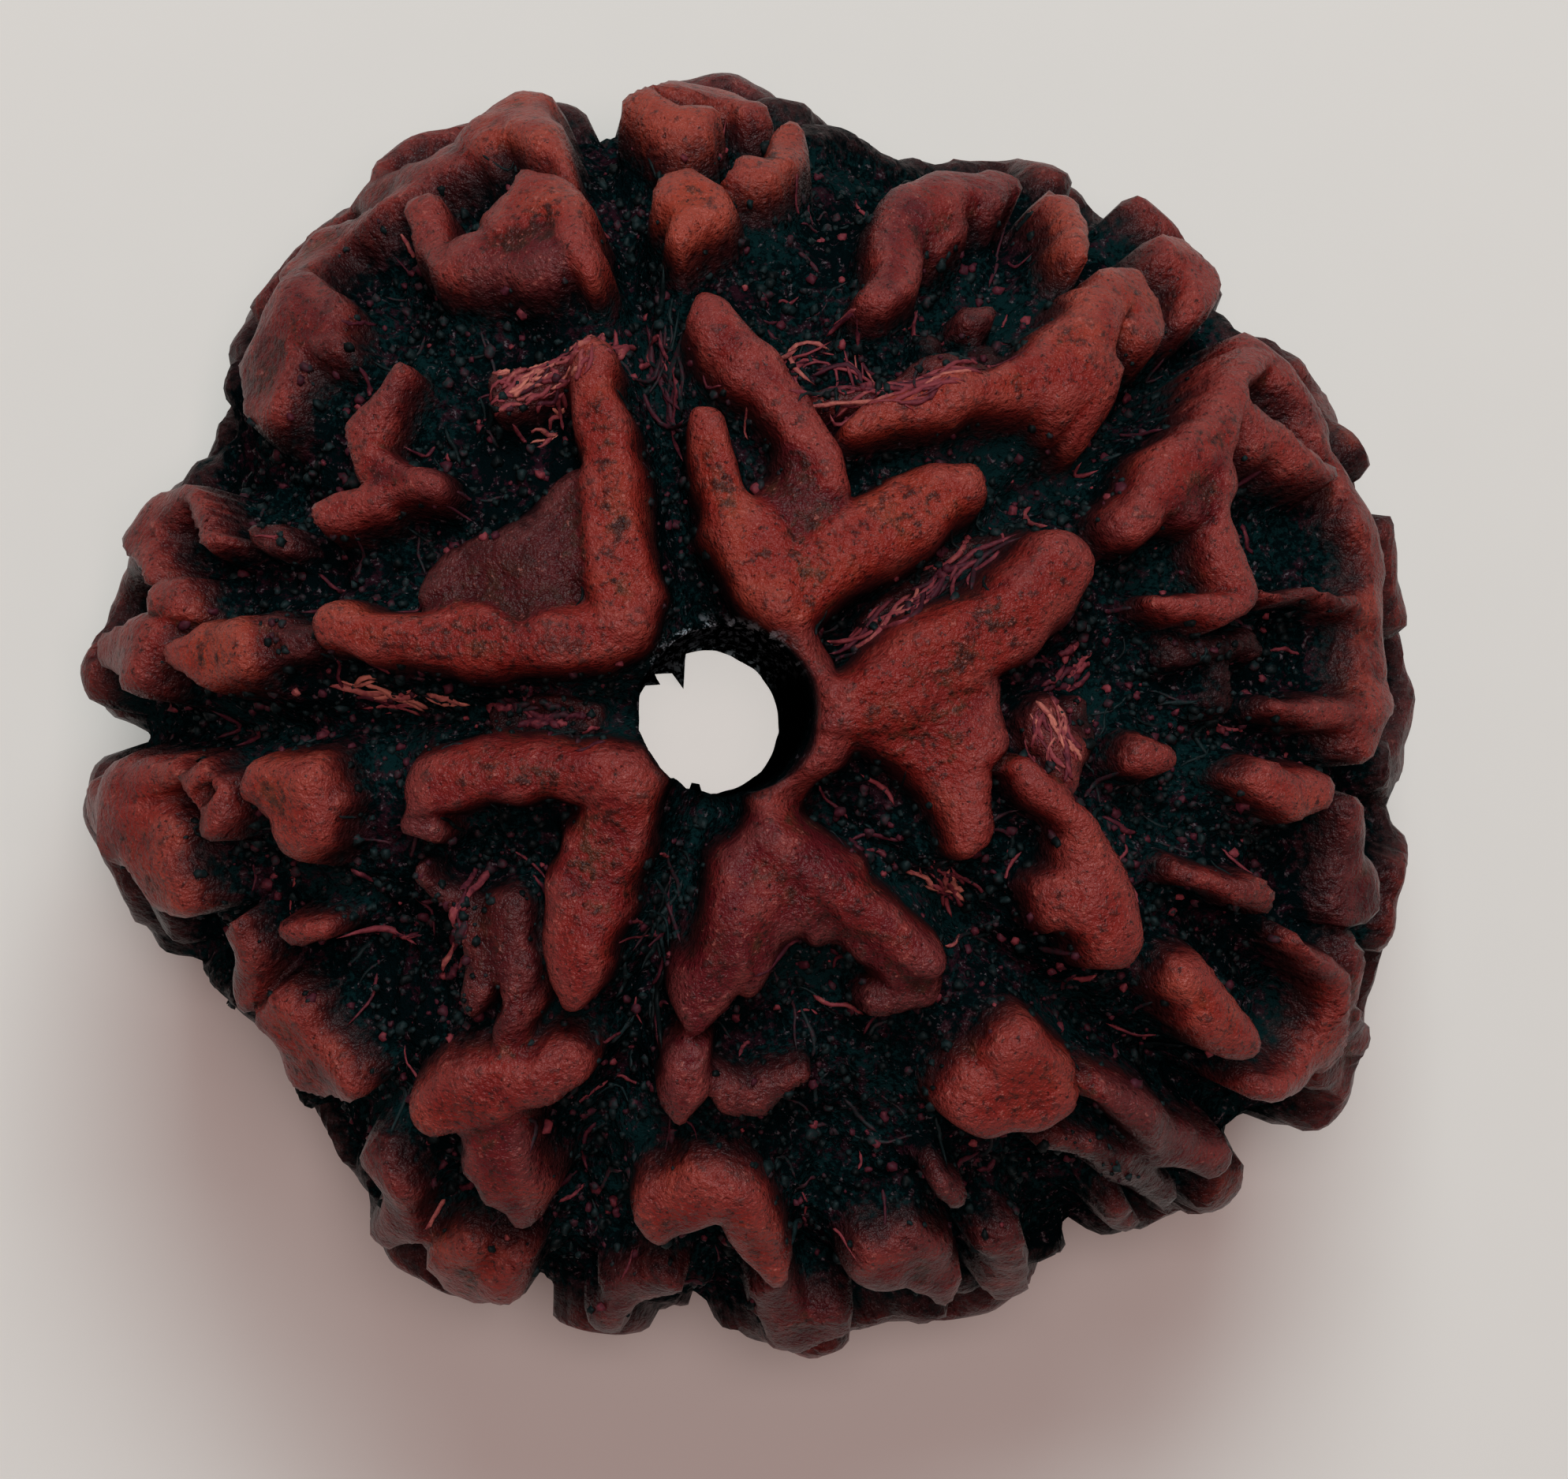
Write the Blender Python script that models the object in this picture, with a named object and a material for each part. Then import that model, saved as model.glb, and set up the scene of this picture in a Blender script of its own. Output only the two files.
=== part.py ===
"""A five-faced rudraksha bead: one hard, ridged stone with a thread hole along Z.

The bead is a flattened ball, a little wider in some directions than in others. A crown surface
passes over the tops of its ridges and a core surface lies a relief depth below it. Every ridge
and knob is a stroke: a chain of points on the crown, each with a half width and a height. The
ridges on the upper face are placed one by one. Those on the sides and the underside follow a
seeded rule. Five furrows run from the thread hole over the rim and down to the underside.

All sizes are millimetres until the mesh is written. The bead stands on a small worn flat, and
the origin is at the middle of its footprint.
"""

import math
import random
from functools import cache

import bpy
import numpy as np

MM = 0.001
BEAD_NAME = "rudraksha_bead"

# The crown surface, over the ridge tops.
CROWN_SMOOTHING = 9.0
CROWN_SHARPNESS = 60.0
CROWN_MARGIN = 0.4
HALF_HEIGHT = 8.9
ROUNDNESS = 2.3

# The relief.
RELIEF = 1.4
DOME = 0.13
FLANK_POWER = 7.0
SKIRT = 0.3
SKIRT_WIDTH = 1.75
BLEND_POWER = 8.0
FURROW_DEPTH = 0.5
RIM_FURROW_DEPTH = 0.2
FURROW_HALF_WIDTH = 0.38
SWELL = 0.06
UPPER_STRETCH = 0.18

# The thread hole and the worn flat.
HOLE_RADIUS = 1.3
HOLE_SIDES = 40
FLAT_DEPTH = 0.35
HOLE_FROM_MIDDLE = (-0.61, -0.15)

# The mesh.
SEGMENTS = 320
RINGS = 200
TRIANGLES = 11200
SEED = 5

# Ridges of the upper face as seen along the hole, which is at (0, 0): a height as a share of the
# relief, then the points (x, y, half width) that the ridge passes through. +X is right and +Y up.
NORTH_WEST_RIDGES = {
    "upright arm": (0.97, [(-1.4, 1.5, 0.56), (-1.6, 2.5, 0.64), (-1.7, 3.6, 0.59), (-1.9, 4.6, 0.50),
                           (-2.0, 5.4, 0.40)]),
    "bar": (0.95, [(-1.5, 1.3, 0.56), (-2.7, 1.1, 0.59), (-4.1, 1.1, 0.54), (-5.1, 1.1, 0.50),
                   (-6.0, 1.3, 0.40)]),
    "face": (0.8, [(-2.3, 3.1, 0.66), (-2.4, 2.5, 0.92), (-3.1, 2.0, 0.78), (-4.2, 1.7, 0.54)]),
    "inner ridge": (0.85, [(-4.8, 5.3, 0.18), (-5.3, 4.7, 0.31), (-5.6, 4.2, 0.38), (-5.1, 3.7, 0.43),
                           (-4.5, 3.5, 0.33)]),
    "inner knob": (0.88, [(-6.1, 3.1, 0.46), (-5.5, 3.4, 0.36)]),
    "small knob": (0.6, [(-7.5, 2.9, 0.24), (-7.1, 2.8, 0.24)]),
    "loop": (0.8, [(-9.4, 2.3, 0.25), (-9.5, 3.1, 0.30), (-9.1, 3.5, 0.32), (-8.5, 3.4, 0.27),
                   (-8.0, 2.8, 0.22)]),
    "edge knob": (0.85, [(-8.9, 1.8, 0.39), (-8.7, 1.9, 0.32)]),
    "west knob": (0.85, [(-9.9, 1.0, 0.52), (-9.3, 1.1, 0.56), (-9.4, 0.7, 0.49)]),
    "bright knob": (0.92, [(-8.2, 1.0, 0.63), (-7.7, 0.9, 0.60)]),
    "purple foot": (0.6, [(-7.1, 1.1, 0.50), (-6.6, 1.1, 0.31)]),
    "broad rim": (0.8, [(-7.4, 5.1, 0.56), (-7.3, 5.9, 0.74), (-6.7, 6.7, 0.54), (-6.5, 6.1, 0.51)]),
    "thin rim": (0.75, [(-7.0, 7.2, 0.42), (-6.7, 8.0, 0.35), (-6.1, 8.3, 0.27), (-5.6, 8.5, 0.25),
                        (-5.1, 8.9, 0.30), (-4.4, 9.2, 0.30), (-3.9, 9.6, 0.32)]),
    "peak": (0.88, [(-3.9, 9.4, 0.42), (-3.3, 9.8, 0.57), (-2.8, 9.4, 0.49), (-2.6, 8.9, 0.34)]),
    "twin knob": (0.85, [(-4.8, 8.1, 0.34), (-4.6, 7.4, 0.44), (-4.1, 7.3, 0.44)]),
    "wedge face": (0.84, [(-4.1, 7.4, 0.46), (-3.4, 7.3, 0.60), (-2.7, 7.1, 0.53)]),
    "wedge": (0.95, [(-3.5, 7.8, 0.53), (-2.8, 8.1, 0.58), (-2.4, 7.8, 0.46), (-2.2, 7.1, 0.36),
                     (-2.1, 6.7, 0.22)]),
    "torn ridge": (0.6, [(-3.5, 5.0, 0.31), (-2.8, 5.2, 0.33), (-2.2, 5.5, 0.36)]),
}

NORTH_RIDGES = {
    "left arm": (0.97, [(0.8, 1.6, 0.54), (0.5, 2.4, 0.56), (0.1, 3.2, 0.52), (-0.1, 4.0, 0.40),
                        (-0.2, 4.5, 0.28)]),
    "right arm": (0.97, [(1.0, 1.6, 0.61), (1.7, 2.3, 0.71), (2.5, 2.9, 0.73), (3.2, 3.3, 0.64),
                         (3.7, 3.5, 0.43)]),
    "web": (0.82, [(1.0, 2.6, 0.87), (1.3, 3.4, 0.71), (1.5, 4.0, 0.47)]),
    "upper ridge": (0.9, [(-0.2, 6.1, 0.40), (0.2, 5.7, 0.55), (0.7, 5.2, 0.47), (1.1, 4.6, 0.36),
                          (1.5, 4.1, 0.43), (1.6, 3.6, 0.40)]),
    "hole bridge": (0.8, [(1.0, 1.2, 0.40), (1.4, 0.6, 0.33), (1.6, 0.1, 0.35)]),
    "bright ridge": (0.92, [(2.1, 4.4, 0.21), (2.6, 4.6, 0.28), (3.4, 4.9, 0.36), (4.3, 5.0, 0.43),
                            (5.1, 5.3, 0.62), (5.7, 6.0, 0.63), (6.2, 6.7, 0.53), (6.7, 6.5, 0.53),
                            (6.8, 6.0, 0.36)]),
    "bright foot": (0.9, [(5.3, 5.1, 0.62), (5.9, 5.1, 0.43), (5.7, 4.6, 0.33)]),
    "rim knob": (0.88, [(7.3, 7.5, 0.37), (7.8, 7.2, 0.49), (7.7, 6.6, 0.32)]),
    "orange knob": (0.88, [(5.5, 8.4, 0.34), (5.6, 7.7, 0.37), (5.5, 7.2, 0.22)]),
    "brown ridge": (0.85, [(4.7, 8.7, 0.34), (4.0, 8.5, 0.49), (3.1, 8.3, 0.58), (2.8, 7.6, 0.58),
                           (2.7, 6.9, 0.46), (2.4, 6.5, 0.29)]),
    "brown web": (0.75, [(3.5, 8.0, 0.53)]),
    "pink knob": (0.65, [(4.0, 6.4, 0.26), (4.4, 6.4, 0.26)]),
    "dull knob": (0.42, [(4.3, 5.8, 0.41)]),
    "dull mound": (0.38, [(3.4, 5.9, 0.41)]),
    "top knob": (0.88, [(-1.1, 9.8, 0.44), (-0.8, 9.4, 0.44), (-0.3, 9.4, 0.34)]),
    "top arch": (0.82, [(-0.8, 10.2, 0.32), (-0.0, 10.3, 0.35), (0.5, 10.0, 0.37)]),
    "top ridge": (0.86, [(1.1, 9.2, 0.49), (0.9, 8.7, 0.39), (0.4, 8.7, 0.32)]),
    "north knob": (0.92, [(-0.6, 8.2, 0.58), (-0.2, 8.0, 0.55), (-0.6, 7.3, 0.38)]),
    "fibre ledge": (0.6, [(1.2, 4.9, 0.19), (2.2, 4.9, 0.21), (3.2, 5.3, 0.24), (4.1, 5.4, 0.19)]),
    "furrow thread": (0.42, [(2.3, 1.3, 0.19), (3.1, 2.0, 0.24), (4.0, 2.6, 0.24), (4.8, 3.0, 0.19)]),
}

EAST_RIDGES = {
    "hole arm": (0.97, [(1.7, 0.1, 0.54), (2.5, 0.2, 0.73)]),
    "upper arm": (0.97, [(2.5, 0.3, 0.71), (3.3, 0.9, 0.75), (4.2, 1.4, 0.76), (5.0, 2.1, 0.71),
                         (5.3, 2.4, 0.50)]),
    "lower arm": (0.95, [(2.5, -0.0, 0.73), (3.3, -0.4, 0.80), (3.7, -1.1, 0.66), (3.8, -1.9, 0.47)]),
    "middle": (0.88, [(3.5, 0.2, 0.82), (4.0, -0.4, 0.47)]),
    "hole link": (0.85, [(1.7, -0.2, 0.52), (1.1, -0.8, 0.42), (0.8, -1.4, 0.40)]),
    "second ridge": (0.92, [(4.6, -0.8, 0.21), (5.1, -1.4, 0.31), (5.5, -2.1, 0.47), (5.8, -3.0, 0.76),
                            (5.9, -3.4, 0.67)]),
    "second foot": (0.85, [(5.2, -3.0, 0.55)]),
    "chip": (0.7, [(4.9, -0.0, 0.33), (5.2, -0.6, 0.40), (5.3, -1.1, 0.26)]),
    "chip side": (0.5, [(5.6, -0.0, 0.26), (5.5, -0.7, 0.28)]),
    "outer ridge": (0.92, [(6.4, 3.1, 0.45), (6.9, 3.7, 0.48), (7.5, 4.2, 0.43), (8.0, 4.9, 0.39),
                           (8.5, 5.7, 0.37)]),
    "outer slope": (0.8, [(7.2, 3.2, 0.38), (7.6, 3.8, 0.36)]),
    "descending ridge": (0.9, [(7.7, 3.9, 0.36), (7.8, 3.2, 0.34), (7.8, 2.6, 0.29), (8.0, 2.1, 0.34),
                               (8.0, 1.6, 0.36), (7.2, 1.6, 0.29), (6.8, 1.7, 0.19)]),
    "arc": (0.85, [(8.2, 4.8, 0.34), (8.7, 4.4, 0.36), (9.3, 4.1, 0.39), (9.8, 4.0, 0.34)]),
    "outer crest": (0.82, [(8.7, 6.1, 0.32), (9.2, 5.6, 0.30), (9.7, 5.1, 0.27), (10.0, 4.6, 0.25)]),
    "rim": (0.75, [(10.2, 4.4, 0.20), (10.4, 3.7, 0.22), (10.7, 3.0, 0.27), (10.9, 2.4, 0.37),
                   (10.8, 1.7, 0.35), (10.8, 0.9, 0.34), (10.7, 0.2, 0.42), (10.3, -0.5, 0.42)]),
    "rim hook": (0.75, [(10.7, 0.1, 0.42), (9.8, -0.1, 0.32), (9.0, -0.0, 0.19)]),
    "cross ridge": (0.7, [(8.5, 1.8, 0.14), (9.4, 1.8, 0.15), (10.4, 1.7, 0.20)]),
    "round knob": (0.8, [(6.6, -0.7, 0.45), (6.8, -0.8, 0.40)]),
    "ovoid knob": (0.88, [(8.4, -1.1, 0.36), (9.1, -1.3, 0.48), (9.4, -1.4, 0.39)]),
    "small bar": (0.75, [(7.2, -2.5, 0.19), (8.0, -2.8, 0.26), (8.6, -3.0, 0.27)]),
    "big ovoid": (0.95, [(7.2, -4.2, 0.46), (7.6, -4.6, 0.58), (8.0, -5.0, 0.51)]),
    "east rim": (0.7, [(10.3, -1.6, 0.34), (10.5, -2.1, 0.32), (10.7, -2.7, 0.44), (10.5, -3.3, 0.37)]),
    "curved ridge": (0.88, [(9.2, -3.6, 0.17), (9.8, -4.1, 0.22), (10.1, -4.8, 0.27), (10.1, -5.6, 0.30),
                            (9.4, -6.0, 0.34), (8.7, -6.1, 0.32)]),
    "corner rim": (0.7, [(10.4, -4.0, 0.32), (10.4, -5.1, 0.35), (10.3, -6.1, 0.37)]),
    "dull beads": (0.42, [(7.2, 1.0, 0.29), (8.0, 0.9, 0.24), (8.7, 1.0, 0.29)]),
    "dull mound": (0.4, [(8.2, 0.3, 0.48)]),
}

SOUTH_RIDGES = {
    "left arm": (0.95, [(0.8, -1.9, 0.52), (0.3, -2.7, 0.57), (-0.0, -3.6, 0.52), (-0.4, -4.5, 0.47)]),
    "left foot": (0.85, [(-0.5, -5.2, 0.31), (-0.6, -5.8, 0.43), (-0.8, -6.3, 0.31)]),
    "right arm": (0.95, [(0.8, -1.9, 0.52), (1.6, -2.5, 0.52), (2.4, -3.2, 0.50), (3.0, -3.8, 0.45)]),
    "slope": (0.84, [(1.0, -2.7, 0.66), (0.5, -3.4, 0.59), (0.2, -4.0, 0.45)]),
    "right slope": (0.84, [(1.4, -2.9, 0.57), (2.1, -3.4, 0.50), (2.6, -3.9, 0.45)]),
    "right tip": (0.7, [(3.0, -4.2, 0.45), (2.4, -4.5, 0.36)]),
    "small ridge": (0.65, [(-0.2, -5.8, 0.29), (0.5, -6.1, 0.31), (0.8, -5.9, 0.29), (1.3, -5.7, 0.17)]),
    "dog bone": (0.9, [(-1.0, -8.1, 0.46), (-0.5, -7.8, 0.58), (0.2, -7.7, 0.53), (0.5, -8.2, 0.39),
                       (0.8, -8.9, 0.24)]),
    "big knob": (1, [(4.6, -5.2, 0.55), (4.9, -5.8, 0.77), (4.2, -6.0, 0.74)]),
    "grey ridge": (0.75, [(5.9, -5.9, 0.29), (6.6, -6.4, 0.44), (7.2, -7.1, 0.54), (7.9, -7.3, 0.44),
                          (8.3, -7.4, 0.37)]),
    "grey foot": (0.6, [(5.2, -7.0, 0.22), (6.0, -7.1, 0.27), (6.7, -7.6, 0.32), (7.5, -8.1, 0.32)]),
    "small knob": (0.7, [(3.5, -7.2, 0.24), (3.7, -7.6, 0.27)]),
    "west rim": (0.7, [(-0.8, -9.4, 0.24), (-1.5, -9.5, 0.39), (-1.9, -10.1, 0.42)]),
    "south rim": (0.75, [(0.9, -9.6, 0.47), (1.2, -10.2, 0.40), (1.9, -10.1, 0.32)]),
    "rim ridge": (0.8, [(2.5, -9.0, 0.54), (3.3, -9.0, 0.59), (3.7, -9.5, 0.42)]),
    "rim knob": (0.7, [(4.5, -8.9, 0.32), (4.8, -8.8, 0.32), (4.9, -9.6, 0.42)]),
    "far knob": (0.65, [(6.6, -8.3, 0.30), (6.7, -8.5, 0.27)]),
}

SOUTH_WEST_RIDGES = {
    "bar": (0.95, [(-1.4, -1.1, 0.59), (-2.6, -1.0, 0.57), (-3.8, -0.9, 0.54), (-4.5, -1.1, 0.57)]),
    "bar foot": (0.8, [(-4.6, -1.6, 0.43), (-4.4, -1.9, 0.26)]),
    "lower arm": (0.97, [(-1.5, -1.3, 0.59), (-1.8, -2.2, 0.75), (-2.0, -3.0, 0.73), (-2.2, -3.9, 0.57),
                         (-2.3, -4.4, 0.33)]),
    "pink strip": (0.62, [(-4.7, -2.6, 0.24), (-4.1, -3.2, 0.33), (-3.9, -3.9, 0.33),
                          (-4.0, -4.6, 0.24)]),
    "slope": (0.7, [(-3.4, -3.2, 0.47), (-3.3, -4.0, 0.45), (-3.2, -4.7, 0.43)]),
    "heart": (0.97, [(-4.4, -6.1, 0.58), (-3.6, -5.9, 0.60), (-2.6, -5.7, 0.52)]),
    "heart neck": (0.75, [(-3.3, -4.8, 0.31), (-3.4, -5.3, 0.38)]),
    "heart tail": (0.86, [(-3.6, -6.7, 0.70), (-3.4, -7.3, 0.58), (-3.1, -8.2, 0.39)]),
    "shield knob": (0.95, [(-7.1, -1.1, 0.50), (-6.6, -1.3, 0.67), (-6.5, -1.9, 0.48)]),
    "pinhole knob": (0.8, [(-8.5, -1.0, 0.36), (-8.1, -1.4, 0.41), (-8.1, -1.8, 0.29)]),
    "rim ridge": (0.85, [(-9.0, -0.9, 0.34), (-9.9, -1.1, 0.49), (-9.6, -1.6, 0.61), (-9.3, -2.3, 0.61),
                         (-9.0, -3.0, 0.49)]),
    "small knob": (0.8, [(-7.0, -3.6, 0.31), (-6.6, -3.5, 0.26)]),
    "rim loop": (0.75, [(-7.9, -3.5, 0.24), (-7.8, -4.1, 0.34), (-7.7, -4.6, 0.32)]),
    "rim knob": (0.85, [(-7.2, -4.9, 0.34), (-6.8, -5.2, 0.44), (-6.5, -5.8, 0.54), (-6.0, -6.0, 0.44)]),
    "low knob": (0.75, [(-5.7, -7.4, 0.37), (-5.3, -7.8, 0.42), (-5.3, -8.4, 0.49)]),
    "south knob": (0.85, [(-4.5, -8.9, 0.47), (-3.9, -9.3, 0.62), (-3.5, -9.2, 0.44)]),
    "furrow beads": (0.45, [(-3.6, -0.1, 0.31), (-2.7, -0.1, 0.35), (-2.1, -0.1, 0.26)]),
}

UPPER_RIDGES = (NORTH_WEST_RIDGES, NORTH_RIDGES, EAST_RIDGES, SOUTH_RIDGES, SOUTH_WEST_RIDGES)

# The furrows of the upper face, and the turn round the hole at which each goes down the side.
UPPER_FURROWS = {
    "north": [(-0.2, 1.3), (-0.6, 2.5), (-0.9, 3.8), (-1.0, 5.0), (-1.4, 6.6), (-1.7, 8.1)],
    "north east": [(1.7, 1.0), (2.6, 1.7), (3.8, 2.5), (5.0, 3.5), (6.3, 4.6), (7.9, 5.9)],
    "south east": [(1.2, -1.4), (2.1, -2.1), (3.7, -3.3), (4.9, -4.3), (6.2, -5.2), (8.2, -6.4)],
    "south": [(-0.3, -1.5), (-0.6, -2.6), (-1.0, -3.8), (-1.4, -5.0), (-1.6, -6.0), (-2.1, -7.2),
              (-2.6, -8.6)],
    "west": [(-1.6, 0.0), (-3.3, -0.1), (-5.0, -0.1), (-6.2, -0.2), (-7.4, -0.3), (-9.1, -0.3)],
}
FURROW_TURNS = (102.0, 36.0, -38.0, -107.0, -178.0)

# The outline seen along the hole: turn in degrees and the ridges' reach from the hole's axis.
OUTLINE = (
    (-179, 9.6), (-176, 9.8), (-173, 10.5), (-166, 10.3), (-161, 10.1), (-155, 9.3), (-150, 9.3),
    (-144, 9.1), (-138, 9.2), (-132, 8.9), (-127, 9.7), (-121, 10.3), (-114, 10.6), (-110, 10.3),
    (-107, 9.6), (-104, 10.1), (-100, 10.5), (-96, 9.8), (-91, 9.5), (-87, 10.2), (-82, 10.6),
    (-75, 10.5), (-68, 10.8), (-62, 10.9), (-57, 10.3), (-54, 10.4), (-50, 11.1), (-44, 11.5),
    (-40, 11.4), (-37, 11.1), (-32, 12.1), (-22, 11.9), (-13, 11.7), (-7, 11.2), (-1, 11.5), (7, 11.5),
    (13, 11.7), (20, 11.5), (28, 11.4), (35, 11), (38, 10.7), (42, 11.2), (46, 11), (49, 10.4),
    (57, 10.6), (62, 10.4), (69, 9.9), (76, 9.4), (79, 9.5), (83, 10.1), (88, 10.6), (95, 10.6), (99, 10),
    (102, 9.4), (105, 10.5), (109, 10.8), (115, 10.4), (123, 10.4), (132, 10.4), (141, 10.1), (146, 9.5),
    (150, 9.1), (154, 9.4), (160, 9.9), (168, 10), (175, 10.4), (178, 10),
)
RIM_TILT = 91.0
RIM_HALF_WIDTH = 0.7
RIM_INSET = 0.05
RIM_STEP = 3

# The sides and the underside, in degrees down from the upper end of the hole.
SIDE_TILTS = (83.0, 98.0, 112.0, 126.0, 139.0)
BELTS = ((113.0, 0.6, 0.5), (135.0, 0.6, 0.5))
BELT_GAP = 1.1
BELT_WAVE = 3.0
BELT_POINTS = 14
FURROW_TILTS = (90.0, 105.0, 120.0, 135.0, 150.0, 162.0)
KNOB_SPACING = 2.7
KNOB_JITTER = 0.4
KNOB_HALF_WIDTH = (0.52, 0.75)
KNOB_HEIGHT = (0.7, 0.97)
KNOB_STEP = (0.8, 1.4)
FURROW_CLEARANCE = 0.95
ARM_TILTS = (169.0, 161.0, 153.0, 145.0, 138.0)
ARM_OFFSET = 0.9
ARM_HEIGHT = 0.95
ARM_BEND = (-0.5, 1.1)
ARM_WIDTH = (0.85, 1.2)


def clear_scene():
    """Remove what a new Blender file holds."""
    for old in list(bpy.data.objects):
        bpy.data.objects.remove(old, do_unlink=True)


def make_collection(name):
    """Add a collection to the scene."""
    collection = bpy.data.collections.new(name)
    bpy.context.scene.collection.children.link(collection)
    return collection


def smooth_path(points, steps):
    """A Catmull-Rom curve through three points or more, with so many steps between each two."""
    points = np.array(points, float)
    if len(points) < 3:
        return points
    before, after = 2 * points[0] - points[1], 2 * points[-1] - points[-2]
    padded = np.vstack([before, points, after])
    share = (np.arange(steps) / steps)[None, :, None]
    a, b, c, d = (padded[i:len(padded) - 3 + i, None] for i in range(4))
    curve = 0.5 * (2 * b + (c - a) * share + (2 * a - 5 * b + 4 * c - d) * share ** 2
                   + (3 * b - a - 3 * c + d) * share ** 3)
    return np.vstack([curve.reshape(-1, points.shape[1]), points[-1]])


@cache
def outline_curve():
    """The outline as a smooth closed curve of turns and reaches."""
    first_turn, first_reach = OUTLINE[0]
    return smooth_path(OUTLINE + ((first_turn + 360, first_reach),), 4)


def outline_reach(turn):
    """Reach of the outline at a turn in radians."""
    curve = outline_curve()
    return np.interp(np.degrees(turn), curve[:, 0], curve[:, 1], period=360)


@cache
def crown_table():
    """At each degree the mean of high powers of the outline's reach some degrees to each side."""
    around = np.radians(np.arange(360))
    apart = np.remainder(around[:, None] - around + math.pi, 2 * math.pi) - math.pi
    weight = np.exp(-(apart / math.radians(CROWN_SMOOTHING)) ** 2)
    powers = outline_reach(around) ** CROWN_SHARPNESS
    return (weight @ powers / weight.sum(axis=1)) ** (1 / CROWN_SHARPNESS)


def crown_radius(turn):
    """Radius of the crown's outline at a turn in radians: a smooth ring over the outline's peaks."""
    return np.interp(np.degrees(turn), np.arange(360), crown_table(), period=360) + CROWN_MARGIN


def crown_point(turn, tilt):
    """Point of the crown at a turn round Z and a tilt down from +Z, both in radians."""
    flat = np.abs(np.sin(tilt)) ** (2 / ROUNDNESS)
    rise = np.sign(np.cos(tilt)) * np.abs(np.cos(tilt)) ** (2 / ROUNDNESS)
    radius = crown_radius(turn) * flat
    return np.stack([radius * np.cos(turn), radius * np.sin(turn), HALF_HEIGHT * rise], axis=-1)


def crown_normal(point):
    """Outward direction of the crown at its points, from the slope of its equation."""
    reach = np.hypot(point[..., 0], point[..., 1])
    edge = crown_radius(np.arctan2(point[..., 1], point[..., 0]))
    side = reach ** (ROUNDNESS - 2) / edge ** ROUNDNESS
    up = np.abs(point[..., 2]) ** (ROUNDNESS - 1) / HALF_HEIGHT ** ROUNDNESS
    normal = np.stack([point[..., 0] * side, point[..., 1] * side, np.sign(point[..., 2]) * up], axis=-1)
    return normal / np.linalg.norm(normal, axis=-1, keepdims=True)


def on_upper_face(x, y):
    """Crown point above a plan point, which is kept inside the outline."""
    turn = math.atan2(y, x)
    share = min(math.hypot(x, y) / float(crown_radius(turn)), 0.999)
    rise = HALF_HEIGHT * (1 - share ** ROUNDNESS) ** (1 / ROUNDNESS)
    reach = share * float(crown_radius(turn))
    return np.array([reach * math.cos(turn), reach * math.sin(turn), rise])


def upper_strokes():
    """The placed ridges of the upper face. A stroke is a list of (crown point, half width, height)."""
    strokes = []
    for lobe in UPPER_RIDGES:
        for share, points in lobe.values():
            path = smooth_path(points, 3)
            strokes.append([(on_upper_face(x, y), half, share * RELIEF) for x, y, half in path])
    return strokes


def furrow_lines():
    """Each furrow as crown points, from the hole over the upper face and down to the underside."""
    lines = []
    for points, turn in zip(UPPER_FURROWS.values(), FURROW_TURNS):
        line = [on_upper_face(x, y) for x, y in points]
        for tilt in FURROW_TILTS:
            line.append(crown_point(math.radians(turn), math.radians(tilt)))
        lines.append(line)
    return lines


def gap_to_furrow(point, turn_index):
    """Distance along the side from a crown point to a furrow's own turn."""
    turn = math.atan2(point[1], point[0])
    apart = math.remainder(turn - math.radians(FURROW_TURNS[turn_index]), 2 * math.pi)
    return abs(apart) * math.hypot(point[0], point[1])


def height_to_outline(turn):
    """Height above the core at which a ridge on the widest line meets the outline."""
    return max(float(outline_reach(turn) - crown_radius(turn)) + RELIEF - RIM_INSET, 0.05)


def rim_stroke():
    """One low ridge all round the widest line, as high above the core as the outline asks."""
    stroke = []
    for degrees in range(0, 361, RIM_STEP):
        turn = math.radians(degrees)
        tilt = math.radians(RIM_TILT + BELT_WAVE * math.sin(9 * turn))
        stroke.append((crown_point(turn, tilt), RIM_HALF_WIDTH, height_to_outline(turn)))
    return stroke


def belt_strokes():
    """Low waving ridges round each lobe between two furrows, which join its knobs."""
    strokes = []
    turns = sorted(FURROW_TURNS)
    for start, end in zip(turns, turns[1:] + [turns[0] + 360.0]):
        for tilt, half, height in BELTS:
            middle = crown_point(0.0, math.radians(tilt))
            gap = math.degrees(BELT_GAP / math.hypot(middle[0], middle[1]))
            stroke = []
            for turn in np.radians(np.linspace(start + gap, end - gap, BELT_POINTS)):
                drop = math.radians(tilt + BELT_WAVE * math.sin(7 * turn + tilt))
                stroke.append((crown_point(turn, drop), half, height * RELIEF))
            strokes.append(stroke)
    return strokes


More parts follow.
